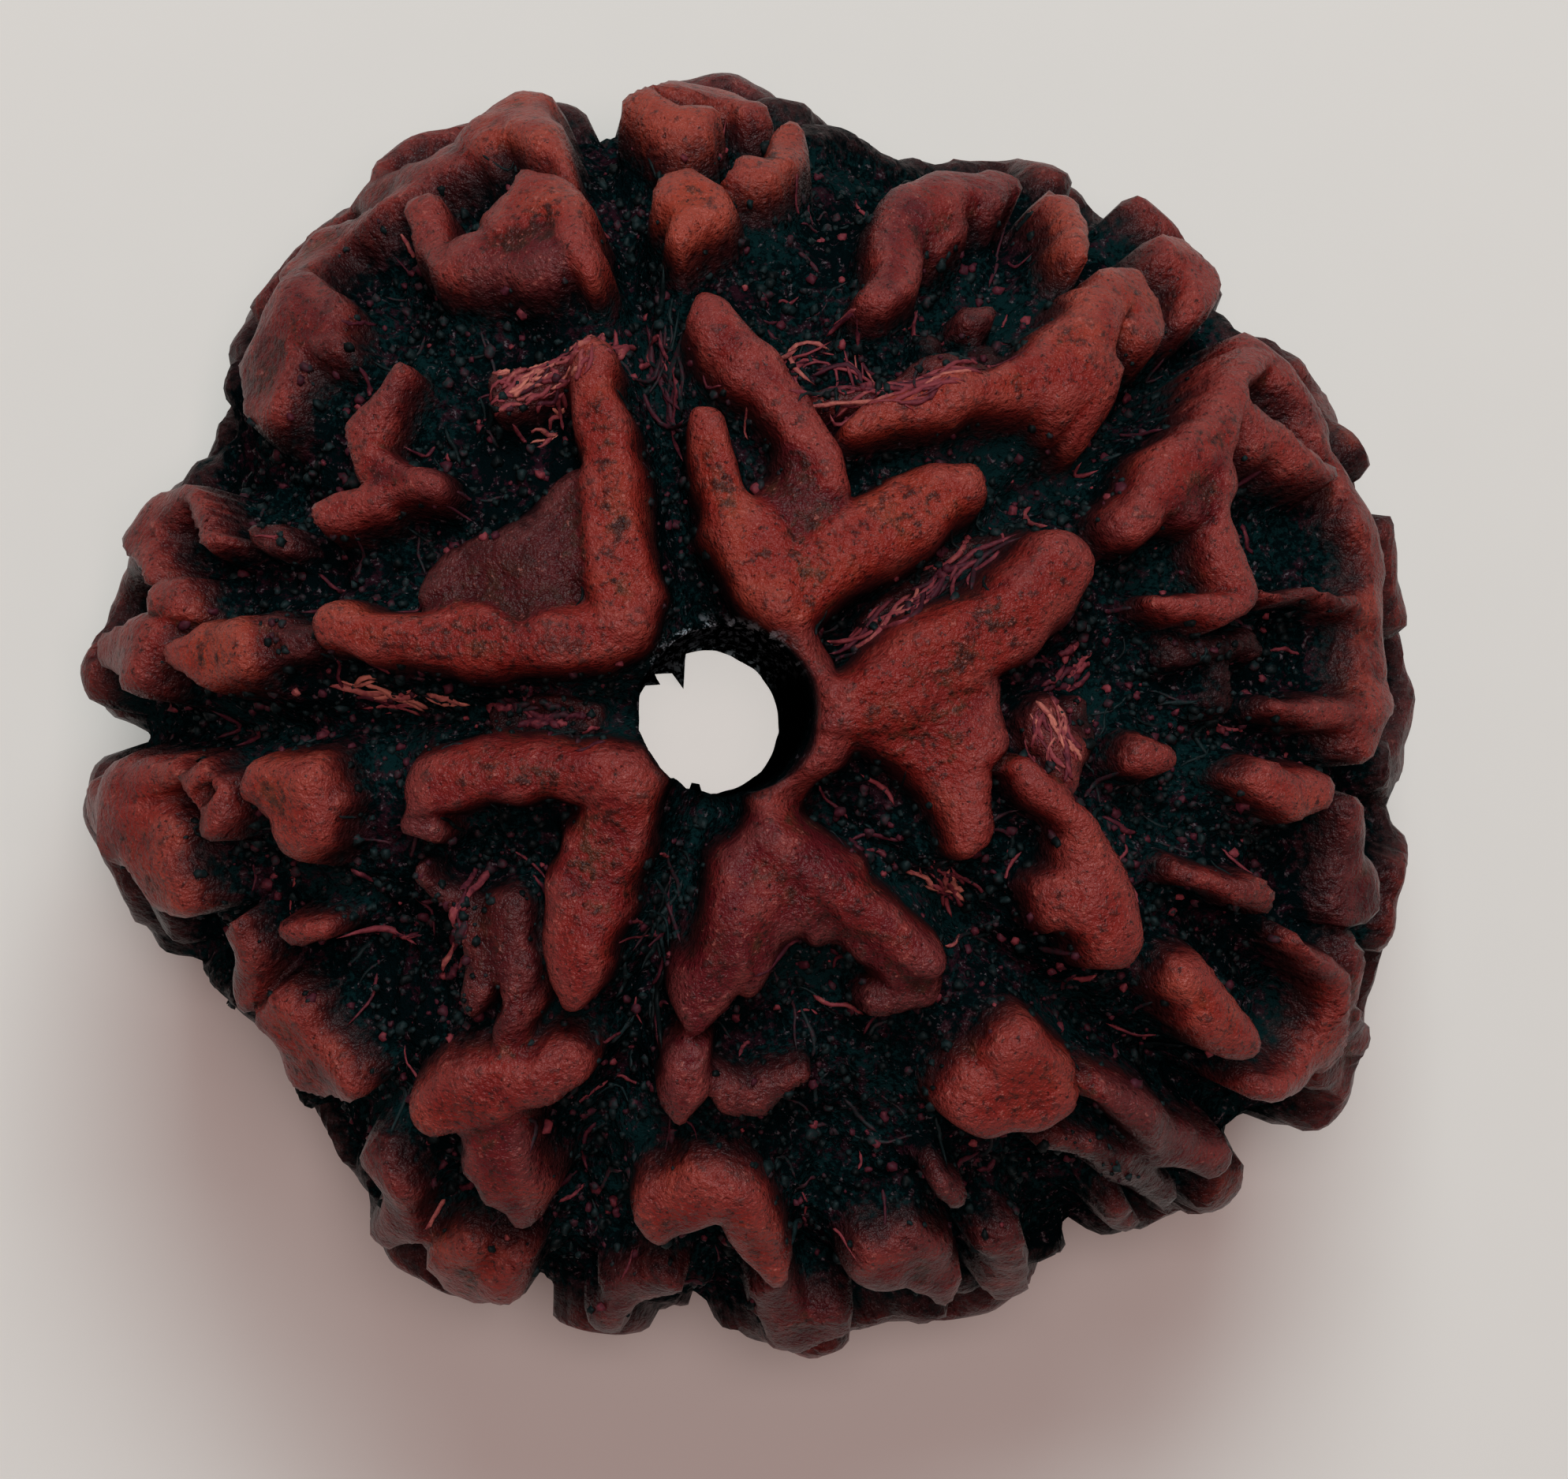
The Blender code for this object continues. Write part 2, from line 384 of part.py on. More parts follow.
def side_strokes(draw):
    """Knobs and short ridges on the sides and the underside, row by row, kept off the furrows."""
    strokes = []
    for tilt in SIDE_TILTS:
        middle = crown_point(0.0, math.radians(tilt))
        count = round(2 * math.pi * math.hypot(middle[0], middle[1]) / KNOB_SPACING)
        shift = draw.random()
        for index in range(count):
            turn = 2 * math.pi * (index + shift + draw.uniform(-KNOB_JITTER, KNOB_JITTER) / 2) / count
            drop = math.radians(tilt + draw.uniform(-KNOB_JITTER, KNOB_JITTER) * 6)
            point = crown_point(turn, drop)
            heading = draw.uniform(0, 2 * math.pi)
            half = draw.uniform(*KNOB_HALF_WIDTH)
            height = min(draw.uniform(*KNOB_HEIGHT) * RELIEF, height_to_outline(turn))
            stroke = []
            for _ in range(draw.choice((2, 3))):
                if min(gap_to_furrow(point, i) for i in range(len(FURROW_TURNS))) > FURROW_CLEARANCE:
                    stroke.append((point, half, height))
                step = draw.uniform(*KNOB_STEP)
                turn += step * math.cos(heading) / math.hypot(point[0], point[1])
                drop += step * math.sin(heading) / HALF_HEIGHT
                point = crown_point(turn, min(drop, math.radians(SIDE_TILTS[-1] + 8)))
                heading += draw.uniform(-0.9, 0.9)
                half *= draw.uniform(0.75, 1.05)
            if stroke:
                strokes.append(stroke)
    return strokes


def underside_arms(draw):
    """Two bent ridges beside each furrow, from the lower end of the hole outwards."""
    strokes = []
    for turn in FURROW_TURNS:
        for side in (-1, 1):
            bend = draw.uniform(*ARM_BEND)
            width = draw.uniform(*ARM_WIDTH)
            stroke = []
            for step, tilt in enumerate(ARM_TILTS[:draw.choice((4, 5))]):
                middle = crown_point(math.radians(turn), math.radians(tilt))
                reach = math.hypot(middle[0], middle[1])
                away = ARM_OFFSET + 0.04 * reach + bend * (step / len(ARM_TILTS)) ** 2
                half = width * (0.4 + 0.06 * reach) * draw.uniform(*ARM_WIDTH)
                point = crown_point(math.radians(turn) + side * away / reach, math.radians(tilt))
                stroke.append((point, half, ARM_HEIGHT * RELIEF))
            strokes.append(stroke)
    return strokes


def gap_along(places, start, end):
    """Distance from each place to a straight piece of a stroke, and the share of its length there."""
    span = end - start
    along = np.clip((places - start) @ span / max(span @ span, 1e-9), 0, 1)
    return np.linalg.norm(places - start - along[:, None] * span, axis=1), along


def stroke_rise(places, stroke):
    """Height of one stroke: domed across, with steep flanks at its half width and a low skirt."""
    rise = np.zeros(len(places))
    pieces = list(zip(stroke, stroke[1:])) or [(stroke[0], stroke[0])]
    for (start, first_half, first_height), (end, last_half, last_height) in pieces:
        gap, along = gap_along(places, start, end)
        share = gap / (first_half + along * (last_half - first_half))
        height = first_height + along * (last_height - first_height)
        dome = np.clip(1 - DOME * share ** 2, 0, 1) / (1 + share ** FLANK_POWER)
        skirt = SKIRT * np.exp(-(share / SKIRT_WIDTH) ** 2)
        rise = np.maximum(rise, height * np.maximum(dome, skirt))
    return rise


def ridge_powers(places, strokes):
    """Sum of the powers of the strokes' heights, whose root is their rounded maximum."""
    return sum(stroke_rise(places, stroke) ** BLEND_POWER for stroke in strokes)


def ridge_heights(places):
    """Height above the core. The upper ridges are drawn from above, so on the steep rim they
    are measured with their drop shortened and reach further down the side."""
    flattened = np.array([1.0, 1.0, UPPER_STRETCH])
    upper = []
    for stroke in upper_strokes():
        upper.append([(flattened * point, half, height) for point, half, height in stroke])
    lower = [rim_stroke()] + belt_strokes() + side_strokes(random.Random(SEED))
    lower += underside_arms(random.Random(SEED + 1))
    total = ridge_powers(places * flattened, upper) + ridge_powers(places, lower)
    return total ** (1 / BLEND_POWER)


def furrow_cut(places, lines):
    """Depth of the furrows below the core: smooth grooves, shallower from the rim down."""
    gap = np.full(len(places), np.inf)
    for line in lines:
        for start, end in zip(line, line[1:]):
            gap = np.minimum(gap, gap_along(places, start, end)[0])
    on_top = np.clip((places[:, 2] - 1) / 4, 0, 1)
    depth = RIM_FURROW_DEPTH + (FURROW_DEPTH - RIM_FURROW_DEPTH) * on_top
    return depth * np.exp(-(gap / FURROW_HALF_WIDTH) ** 2)


def swell(places):
    """Slow unevenness of a grown surface, from a few crossing waves."""
    waves = (((1.7, 0.6, -0.9), 0.4), ((-0.8, 1.9, 0.7), 1.9),
             ((0.5, -1.1, 2.1), 3.1), ((2.3, 1.4, 0.8), 5.0))
    return SWELL * sum(np.sin(places @ np.array(way) + phase) for way, phase in waves)


def make_stone(collection):
    """The ridged stone: a sphere primitive moved by formula and thinned to its budget."""
    bpy.ops.mesh.primitive_uv_sphere_add(segments=SEGMENTS, ring_count=RINGS, radius=1.0)
    stone = bpy.context.active_object
    stone.name = BEAD_NAME
    stone.data.name = BEAD_NAME
    for owner in list(stone.users_collection):
        owner.objects.unlink(stone)
    collection.objects.link(stone)

    mesh = stone.data
    unit = np.empty(len(mesh.vertices) * 3)
    mesh.vertices.foreach_get("co", unit)
    unit = unit.reshape(-1, 3)
    turn = np.arctan2(unit[:, 1], unit[:, 0])
    tilt = np.arctan2(np.hypot(unit[:, 0], unit[:, 1]), unit[:, 2])
    crown = crown_point(turn, tilt)
    height = ridge_heights(crown) - furrow_cut(crown, furrow_lines()) + swell(crown)
    surface = crown - crown_normal(crown) * (RELIEF - height)[:, None]
    surface += np.array([*HOLE_FROM_MIDDLE, HALF_HEIGHT - FLAT_DEPTH])
    mesh.vertices.foreach_set("co", (surface * MM).ravel())
    mesh.update()

    triangles = sum(len(face.vertices) - 2 for face in mesh.polygons)
    thin = stone.modifiers.new("thin", "DECIMATE")
    thin.ratio = TRIANGLES / triangles
    return stone


def make_drill(collection):
    """Cutter for the straight thread hole."""
    length = 3 * HALF_HEIGHT * MM
    location = (HOLE_FROM_MIDDLE[0] * MM, HOLE_FROM_MIDDLE[1] * MM, HALF_HEIGHT * MM)
    bpy.ops.mesh.primitive_cylinder_add(
        vertices=HOLE_SIDES, radius=HOLE_RADIUS * MM, depth=length, location=location)
    return keep_as_cutter(bpy.context.active_object, "drill", collection)


def make_floor_cutter(collection):
    """Cutter below the worn flat, whose top face is the plane Z = 0."""
    side = 5 * HALF_HEIGHT * MM
    bpy.ops.mesh.primitive_cube_add(size=side, location=(0.0, 0.0, -side / 2))
    return keep_as_cutter(bpy.context.active_object, "worn_flat", collection)


def keep_as_cutter(cutter, name, collection):
    """Name a cutter and show it as wire only."""
    cutter.name = name
    cutter.display_type = "WIRE"
    cutter.hide_render = True
    for owner in list(cutter.users_collection):
        owner.objects.unlink(cutter)
    collection.objects.link(cutter)
    return cutter


def cut(stone, cutter):
    """Take a cutter's shape away from the stone."""
    boolean = stone.modifiers.new(cutter.name, "BOOLEAN")
    boolean.operation = "DIFFERENCE"
    boolean.solver = "EXACT"
    boolean.object = cutter


def add_stone_material(stone):
    """Hard, slightly polished red-brown seed stone."""
    material = bpy.data.materials.new("seed_stone")
    material.use_nodes = True
    shader = material.node_tree.nodes["Principled BSDF"]
    shader.inputs["Base Color"].default_value = (0.19, 0.042, 0.034, 1.0)
    shader.inputs["Roughness"].default_value = 0.5
    shader.inputs["Metallic"].default_value = 0.0
    stone.data.materials.append(material)


def main():
    clear_scene()
    bead_collection = make_collection("rudraksha bead")
    cutter_collection = make_collection("cutters")
    stone = make_stone(bead_collection)
    cut(stone, make_drill(cutter_collection))
    cut(stone, make_floor_cutter(cutter_collection))
    add_stone_material(stone)
    stone.data.shade_smooth()
    stone.data.set_sharp_from_angle(angle=math.radians(40))


main()
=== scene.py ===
import math
import random
from functools import cache

import bpy
import numpy as np
from mathutils import Matrix, Vector


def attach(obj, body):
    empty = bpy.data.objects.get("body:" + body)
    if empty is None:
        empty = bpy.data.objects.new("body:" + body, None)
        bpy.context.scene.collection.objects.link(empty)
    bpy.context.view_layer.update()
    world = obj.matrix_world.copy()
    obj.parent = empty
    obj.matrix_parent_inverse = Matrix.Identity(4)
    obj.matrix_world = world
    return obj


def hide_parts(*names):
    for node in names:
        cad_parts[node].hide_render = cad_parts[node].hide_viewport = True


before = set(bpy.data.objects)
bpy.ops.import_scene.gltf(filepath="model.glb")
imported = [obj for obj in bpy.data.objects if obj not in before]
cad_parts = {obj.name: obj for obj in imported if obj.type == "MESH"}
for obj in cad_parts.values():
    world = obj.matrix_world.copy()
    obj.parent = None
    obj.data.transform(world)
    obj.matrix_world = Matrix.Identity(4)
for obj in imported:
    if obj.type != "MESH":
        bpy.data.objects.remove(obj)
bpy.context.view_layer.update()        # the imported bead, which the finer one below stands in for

# Lengths are millimetres, and the middle of the thread hole is (0, 0), until a mesh is written.
mm = 0.001

crown = {                # the smooth surface over the ridge tops
    "meanRadius": 10.7, "smoothing": 9.0, "sharpness": 60.0, "margin": 0.4,
    "halfHeight": 8.9,
    "roundness": 2.3,
    "holeFromMiddle": (-0.61, -0.15),
    "flatDepth": 0.35,
}

relief = {               # how ridges stand on the core below the crown
    "depth": 1.4,
    "dome": 0.13,
    "flankPower": 9.0,
    "skirt": 0.34, "skirtWidth": 1.75,
    "blendPower": 8.0,
    "widen": 1.03,
    "upperStretch": 0.18,
    "furrowDepth": 0.55, "rimFurrowDepth": 0.2, "furrowHalfWidth": 0.36,
    "hollowDepth": 0.3, "hollowBelow": 0.55,
    "swell": 0.06,
    "waves": (((1.7, 0.6, -0.9), 0.4), ((-0.8, 1.9, 0.7), 1.9), ((0.5, -1.1, 2.1), 3.1),
              ((2.3, 1.4, 0.8), 5.0)),      # radians per millimetre along each axis, then the phase
    "wander": 0.15, "wanderSize": 1.4, "wanderSeeds": (11, 12, 13),
    "fray": 0.13, "fraySize": 0.45, "fraySeeds": (14, 15, 16),
    "grain": 0.8, "grainSize": 0.42, "grainSeed": 21,
    "unevenness": 0.085, "unevenSizes": (1.1, 0.4), "fineShare": 0.6, "unevenSeed": 31,
    "topFrom": 1.0, "topRise": 4.0,      # where above the widest line furrows start to deepen, and how long
}

hole = {                 # the drilled thread hole
    "radius": 1.3, "roughness": 0.05, "roughSize": 0.35, "seed": 41, "rimWidth": 0.12, "burrHeight": 4.0,
    # burrs near its lower end: start and end turn, then the edge's distance and facing
    "burrs": ((106.0, 124.0, 0.37, 180.0), (124.0, 140.0, 0.86, 90.0), (140.0, 150.0, 0.66, 90.0),
              (-104.0, -96.0, 1.08, -100.0)),
}

pinhole = {"place": (-8.19, -1.27), "radius": 0.16, "depth": 0.45}

grid = {                 # how many columns and rows, and where the rows crowd together
    "columns": 480, "faceRows": 184, "wallRows": 20, "profileSteps": 4000,
    "undersideShare": 0.5, "undersideFrom": (80.0, 100.0),
    "flankShare": 0.55, "flankBlurs": 6, "wallCrowding": 1.8,
    "crestSteps": 3, "crestHeight": 0.08, "crestLimit": 1.5,
}

# Ridges of the upper face as seen along the hole: height as a share of the relief, warmth of the
# colour from 0, purple red, to 1, orange, then the points (x, y, half width) on the way.
northWestRidges = {
    "upright arm": (0.97, 0.75, [(-1.4, 1.5, 0.56), (-1.6, 2.5, 0.64), (-1.7, 3.6, 0.59),
                                (-1.9, 4.6, 0.50), (-2.0, 5.4, 0.40)]),
    "bar": (0.95, 0.68, [(-1.5, 1.3, 0.56), (-2.7, 1.1, 0.59), (-4.1, 1.1, 0.54), (-5.1, 1.1, 0.50),
                         (-6.0, 1.3, 0.40)]),
    "face": (0.7, 0.06, [(-2.3, 3.2, 0.72), (-2.5, 2.6, 1.0), (-3.2, 2.1, 0.88), (-4.3, 1.8, 0.62)]),
    "inner ridge": (0.85, 0.45, [(-4.8, 5.3, 0.18), (-5.3, 4.7, 0.31), (-5.6, 4.2, 0.38),
                                 (-5.1, 3.7, 0.43), (-4.5, 3.5, 0.33)]),
    "inner knob": (0.88, 0.6, [(-6.1, 3.1, 0.46), (-5.5, 3.4, 0.36)]),
    "small knob": (0.6, 0.3, [(-7.5, 2.9, 0.24), (-7.1, 2.8, 0.24)]),
    "loop": (0.8, 0.5, [(-9.4, 2.3, 0.25), (-9.5, 3.1, 0.30), (-9.1, 3.5, 0.32), (-8.5, 3.4, 0.27),
                        (-8.0, 2.8, 0.22)]),
    "edge knob": (0.85, 0.6, [(-8.9, 1.8, 0.39), (-8.7, 1.9, 0.32)]),
    "west knob": (0.85, 0.6, [(-9.9, 1.0, 0.52), (-9.3, 1.1, 0.56), (-9.4, 0.7, 0.49)]),
    "bright knob": (0.92, 0.85, [(-8.2, 1.0, 0.63), (-7.7, 0.9, 0.60)]),
    "purple foot": (0.6, 0.1, [(-7.1, 1.1, 0.50), (-6.6, 1.1, 0.31)]),
    "broad rim": (0.8, 0.4, [(-7.4, 5.1, 0.56), (-7.3, 5.9, 0.74), (-6.7, 6.7, 0.54), (-6.5, 6.1, 0.51)]),
    "thin rim": (0.75, 0.55, [(-7.0, 7.2, 0.42), (-6.7, 8.0, 0.35), (-6.1, 8.3, 0.27), (-5.6, 8.5, 0.25),
                              (-5.1, 8.9, 0.30), (-4.4, 9.2, 0.30), (-3.9, 9.6, 0.32)]),
    "peak": (0.88, 0.8, [(-3.9, 9.4, 0.42), (-3.3, 9.8, 0.57), (-2.8, 9.4, 0.49), (-2.6, 8.9, 0.34)]),
    "twin knob": (0.85, 0.6, [(-4.8, 8.1, 0.34), (-4.6, 7.4, 0.44), (-4.1, 7.3, 0.44)]),
    "wedge face": (0.84, 0.2, [(-4.1, 7.4, 0.46), (-3.4, 7.3, 0.60), (-2.7, 7.1, 0.53)]),
    "wedge": (0.95, 0.75, [(-3.5, 7.8, 0.53), (-2.8, 8.1, 0.58), (-2.4, 7.8, 0.46), (-2.2, 7.1, 0.36),
                           (-2.1, 6.7, 0.22)]),
    "torn ridge": (0.6, 0.3, [(-3.5, 5.0, 0.31), (-2.8, 5.2, 0.33), (-2.2, 5.5, 0.36)]),
}

northRidges = {
    "left arm": (0.97, 0.75, [(0.8, 1.6, 0.54), (0.5, 2.4, 0.56), (0.1, 3.2, 0.52), (-0.1, 4.0, 0.40),
                              (-0.2, 4.5, 0.28)]),
    "right arm": (0.97, 0.7, [(1.0, 1.6, 0.61), (1.7, 2.3, 0.71), (2.5, 2.9, 0.73), (3.2, 3.3, 0.64),
                              (3.7, 3.5, 0.43)]),
    "web": (0.82, 0.1, [(1.0, 2.6, 0.87), (1.3, 3.4, 0.71), (1.5, 4.0, 0.47)]),
    "upper ridge": (0.9, 0.6, [(-0.2, 6.1, 0.40), (0.2, 5.7, 0.55), (0.7, 5.2, 0.47), (1.1, 4.6, 0.36),
                               (1.5, 4.1, 0.43), (1.6, 3.6, 0.40)]),
    "hole bridge": (0.8, 0.4, [(1.0, 1.2, 0.40), (1.4, 0.6, 0.33), (1.6, 0.1, 0.35)]),
    "bright ridge": (0.92, 0.8, [(2.1, 4.4, 0.21), (2.6, 4.6, 0.28), (3.4, 4.9, 0.36), (4.3, 5.0, 0.43),
                                 (5.1, 5.3, 0.62), (5.7, 6.0, 0.63), (6.2, 6.7, 0.53), (6.7, 6.5, 0.53),
                                 (6.8, 6.0, 0.36)]),
    "bright foot": (0.9, 0.75, [(5.3, 5.1, 0.62), (5.9, 5.1, 0.43), (5.7, 4.6, 0.33)]),
    "rim knob": (0.88, 0.6, [(7.3, 7.5, 0.37), (7.8, 7.2, 0.49), (7.7, 6.6, 0.32)]),
    "orange knob": (0.88, 0.95, [(5.5, 8.4, 0.34), (5.6, 7.7, 0.37), (5.5, 7.2, 0.22)]),
    "brown ridge": (0.85, 0.4, [(4.7, 8.7, 0.34), (4.0, 8.5, 0.49), (3.1, 8.3, 0.58), (2.8, 7.6, 0.58),
                                (2.7, 6.9, 0.46), (2.4, 6.5, 0.29)]),
    "brown web": (0.75, 0.4, [(3.5, 8.0, 0.53)]),
    "pink knob": (0.65, 0.3, [(4.0, 6.4, 0.26), (4.4, 6.4, 0.26)]),
    "dull knob": (0.42, 0, [(4.3, 5.8, 0.41)]),
    "dull mound": (0.38, 0, [(3.4, 5.9, 0.41)]),
    "top knob": (0.88, 0.95, [(-1.1, 9.8, 0.44), (-0.8, 9.4, 0.44), (-0.3, 9.4, 0.34)]),
    "top arch": (0.82, 0.7, [(-0.8, 10.2, 0.32), (-0.0, 10.3, 0.35), (0.5, 10.0, 0.37)]),
    "top ridge": (0.86, 0.85, [(1.1, 9.2, 0.49), (0.9, 8.7, 0.39), (0.4, 8.7, 0.32)]),
    "north knob": (0.92, 1, [(-0.6, 8.2, 0.58), (-0.2, 8.0, 0.55), (-0.6, 7.3, 0.38)]),
    "fibre ledge": (0.6, 0.35, [(1.2, 4.9, 0.19), (2.2, 4.9, 0.21), (3.2, 5.3, 0.24), (4.1, 5.4, 0.19)]),
    "furrow thread": (0.42, 0.1, [(2.3, 1.3, 0.19), (3.1, 2.0, 0.24), (4.0, 2.6, 0.24),
                                  (4.8, 3.0, 0.19)]),
}

eastRidges = {
    "hole arm": (0.97, 0.5, [(1.7, 0.1, 0.54), (2.5, 0.2, 0.73)]),
    "upper arm": (0.97, 0.55, [(2.5, 0.3, 0.71), (3.3, 0.9, 0.75), (4.2, 1.4, 0.76), (5.0, 2.1, 0.71),
                               (5.3, 2.4, 0.50)]),
    "lower arm": (0.95, 0.6, [(2.5, -0.0, 0.73), (3.3, -0.4, 0.80), (3.7, -1.1, 0.66),
                              (3.8, -1.9, 0.47)]),
    "middle": (0.88, 0.45, [(3.5, 0.2, 0.82), (4.0, -0.4, 0.47)]),
    "hole link": (0.85, 0.45, [(1.7, -0.2, 0.52), (1.1, -0.8, 0.42), (0.8, -1.4, 0.40)]),
    "second ridge": (0.92, 0.6, [(4.6, -0.8, 0.21), (5.1, -1.4, 0.31), (5.5, -2.1, 0.47),
                                 (5.8, -3.0, 0.76), (5.9, -3.4, 0.67)]),
    "second foot": (0.85, 0.6, [(5.2, -3.0, 0.55)]),
    "chip": (0.7, 0.35, [(4.9, -0.0, 0.33), (5.2, -0.6, 0.40), (5.3, -1.1, 0.26)]),
    "chip side": (0.5, 0.2, [(5.6, -0.0, 0.26), (5.5, -0.7, 0.28)]),
    "outer ridge": (0.92, 0.6, [(6.4, 3.1, 0.45), (6.9, 3.7, 0.48), (7.5, 4.2, 0.43), (8.0, 4.9, 0.39),
                                (8.5, 5.7, 0.37)]),
    "outer slope": (0.8, 0.3, [(7.2, 3.2, 0.38), (7.6, 3.8, 0.36)]),
    "descending ridge": (0.9, 0.5, [(7.7, 3.9, 0.36), (7.8, 3.2, 0.34), (7.8, 2.6, 0.29),
                                    (8.0, 2.1, 0.34), (8.0, 1.6, 0.36), (7.2, 1.6, 0.29),
                                    (6.8, 1.7, 0.19)]),
    "arc": (0.85, 0.55, [(8.2, 4.8, 0.34), (8.7, 4.4, 0.36), (9.3, 4.1, 0.39), (9.8, 4.0, 0.34)]),
    "outer crest": (0.82, 0.45, [(8.7, 6.1, 0.32), (9.2, 5.6, 0.30), (9.7, 5.1, 0.27), (10.0, 4.6, 0.25)]),
    "rim": (0.75, 0.62, [(10.2, 4.4, 0.20), (10.4, 3.7, 0.22), (10.7, 3.0, 0.27), (10.9, 2.4, 0.37),
                         (10.8, 1.7, 0.35), (10.8, 0.9, 0.34), (10.7, 0.2, 0.42), (10.3, -0.5, 0.42)]),
    "rim hook": (0.75, 0.55, [(10.7, 0.1, 0.42), (9.8, -0.1, 0.32), (9.0, -0.0, 0.19)]),
    "cross ridge": (0.7, 0.4, [(8.5, 1.8, 0.14), (9.4, 1.8, 0.15), (10.4, 1.7, 0.20)]),
    "round knob": (0.8, 0.4, [(6.6, -0.7, 0.45), (6.8, -0.8, 0.40)]),
    "ovoid knob": (0.88, 0.6, [(8.4, -1.1, 0.36), (9.1, -1.3, 0.48), (9.4, -1.4, 0.39)]),
    "small bar": (0.75, 0.5, [(7.2, -2.5, 0.19), (8.0, -2.8, 0.26), (8.6, -3.0, 0.27)]),
    "big ovoid": (0.95, 0.7, [(7.2, -4.2, 0.46), (7.6, -4.6, 0.58), (8.0, -5.0, 0.51)]),
    "east rim": (0.7, 0.15, [(10.3, -1.6, 0.34), (10.5, -2.1, 0.32), (10.7, -2.7, 0.44),
                             (10.5, -3.3, 0.37)]),
    "curved ridge": (0.88, 0.45, [(9.2, -3.6, 0.17), (9.8, -4.1, 0.22), (10.1, -4.8, 0.27),
                                  (10.1, -5.6, 0.30), (9.4, -6.0, 0.34), (8.7, -6.1, 0.32)]),
    "corner rim": (0.7, 0.35, [(10.4, -4.0, 0.32), (10.4, -5.1, 0.35), (10.3, -6.1, 0.37)]),
    "dull beads": (0.42, 0.05, [(7.2, 1.0, 0.29), (8.0, 0.9, 0.24), (8.7, 1.0, 0.29)]),
    "dull mound": (0.4, 0, [(8.2, 0.3, 0.48)]),
}

southRidges = {
    "left arm": (0.95, 0.16, [(0.8, -1.9, 0.52), (0.3, -2.7, 0.57), (-0.0, -3.6, 0.52),
                              (-0.4, -4.5, 0.47)]),
    "left foot": (0.85, 0.18, [(-0.5, -5.2, 0.31), (-0.6, -5.8, 0.43), (-0.8, -6.3, 0.31)]),
    "right arm": (0.95, 0.22, [(0.8, -1.9, 0.52), (1.6, -2.5, 0.52), (2.4, -3.2, 0.50),
                              (3.0, -3.8, 0.45)]),
    "slope": (0.84, 0.15, [(1.0, -2.7, 0.66), (0.5, -3.4, 0.59), (0.2, -4.0, 0.45)]),
    "right slope": (0.84, 0.1, [(1.4, -2.9, 0.57), (2.1, -3.4, 0.50), (2.6, -3.9, 0.45)]),
    "right tip": (0.7, 0.1, [(3.0, -4.2, 0.45), (2.4, -4.5, 0.36)]),
    "small ridge": (0.65, 0.2, [(-0.2, -5.8, 0.29), (0.5, -6.1, 0.31), (0.8, -5.9, 0.29),
                                (1.3, -5.7, 0.17)]),
    "dog bone": (0.9, 0.55, [(-1.0, -8.1, 0.46), (-0.5, -7.8, 0.58), (0.2, -7.7, 0.53), (0.5, -8.2, 0.39),
                             (0.8, -8.9, 0.24)]),
    "big knob": (1, 0.6, [(4.6, -5.2, 0.55), (4.9, -5.8, 0.77), (4.2, -6.0, 0.74)]),
    "grey ridge": (0.75, 0.15, [(5.9, -5.9, 0.29), (6.6, -6.4, 0.44), (7.2, -7.1, 0.54),
                                (7.9, -7.3, 0.44), (8.3, -7.4, 0.37)]),
    "grey foot": (0.6, 0.1, [(5.2, -7.0, 0.22), (6.0, -7.1, 0.27), (6.7, -7.6, 0.32), (7.5, -8.1, 0.32)]),
    "small knob": (0.7, 0.2, [(3.5, -7.2, 0.24), (3.7, -7.6, 0.27)]),
    "west rim": (0.7, 0.2, [(-0.8, -9.4, 0.24), (-1.5, -9.5, 0.39), (-1.9, -10.1, 0.42)]),
    "south rim": (0.75, 0.15, [(0.9, -9.6, 0.47), (1.2, -10.2, 0.40), (1.9, -10.1, 0.32)]),
    "rim ridge": (0.8, 0.2, [(2.5, -9.0, 0.54), (3.3, -9.0, 0.59), (3.7, -9.5, 0.42)]),
    "rim knob": (0.7, 0.1, [(4.5, -8.9, 0.32), (4.8, -8.8, 0.32), (4.9, -9.6, 0.42)]),
    "far knob": (0.65, 0.3, [(6.6, -8.3, 0.30), (6.7, -8.5, 0.27)]),
}

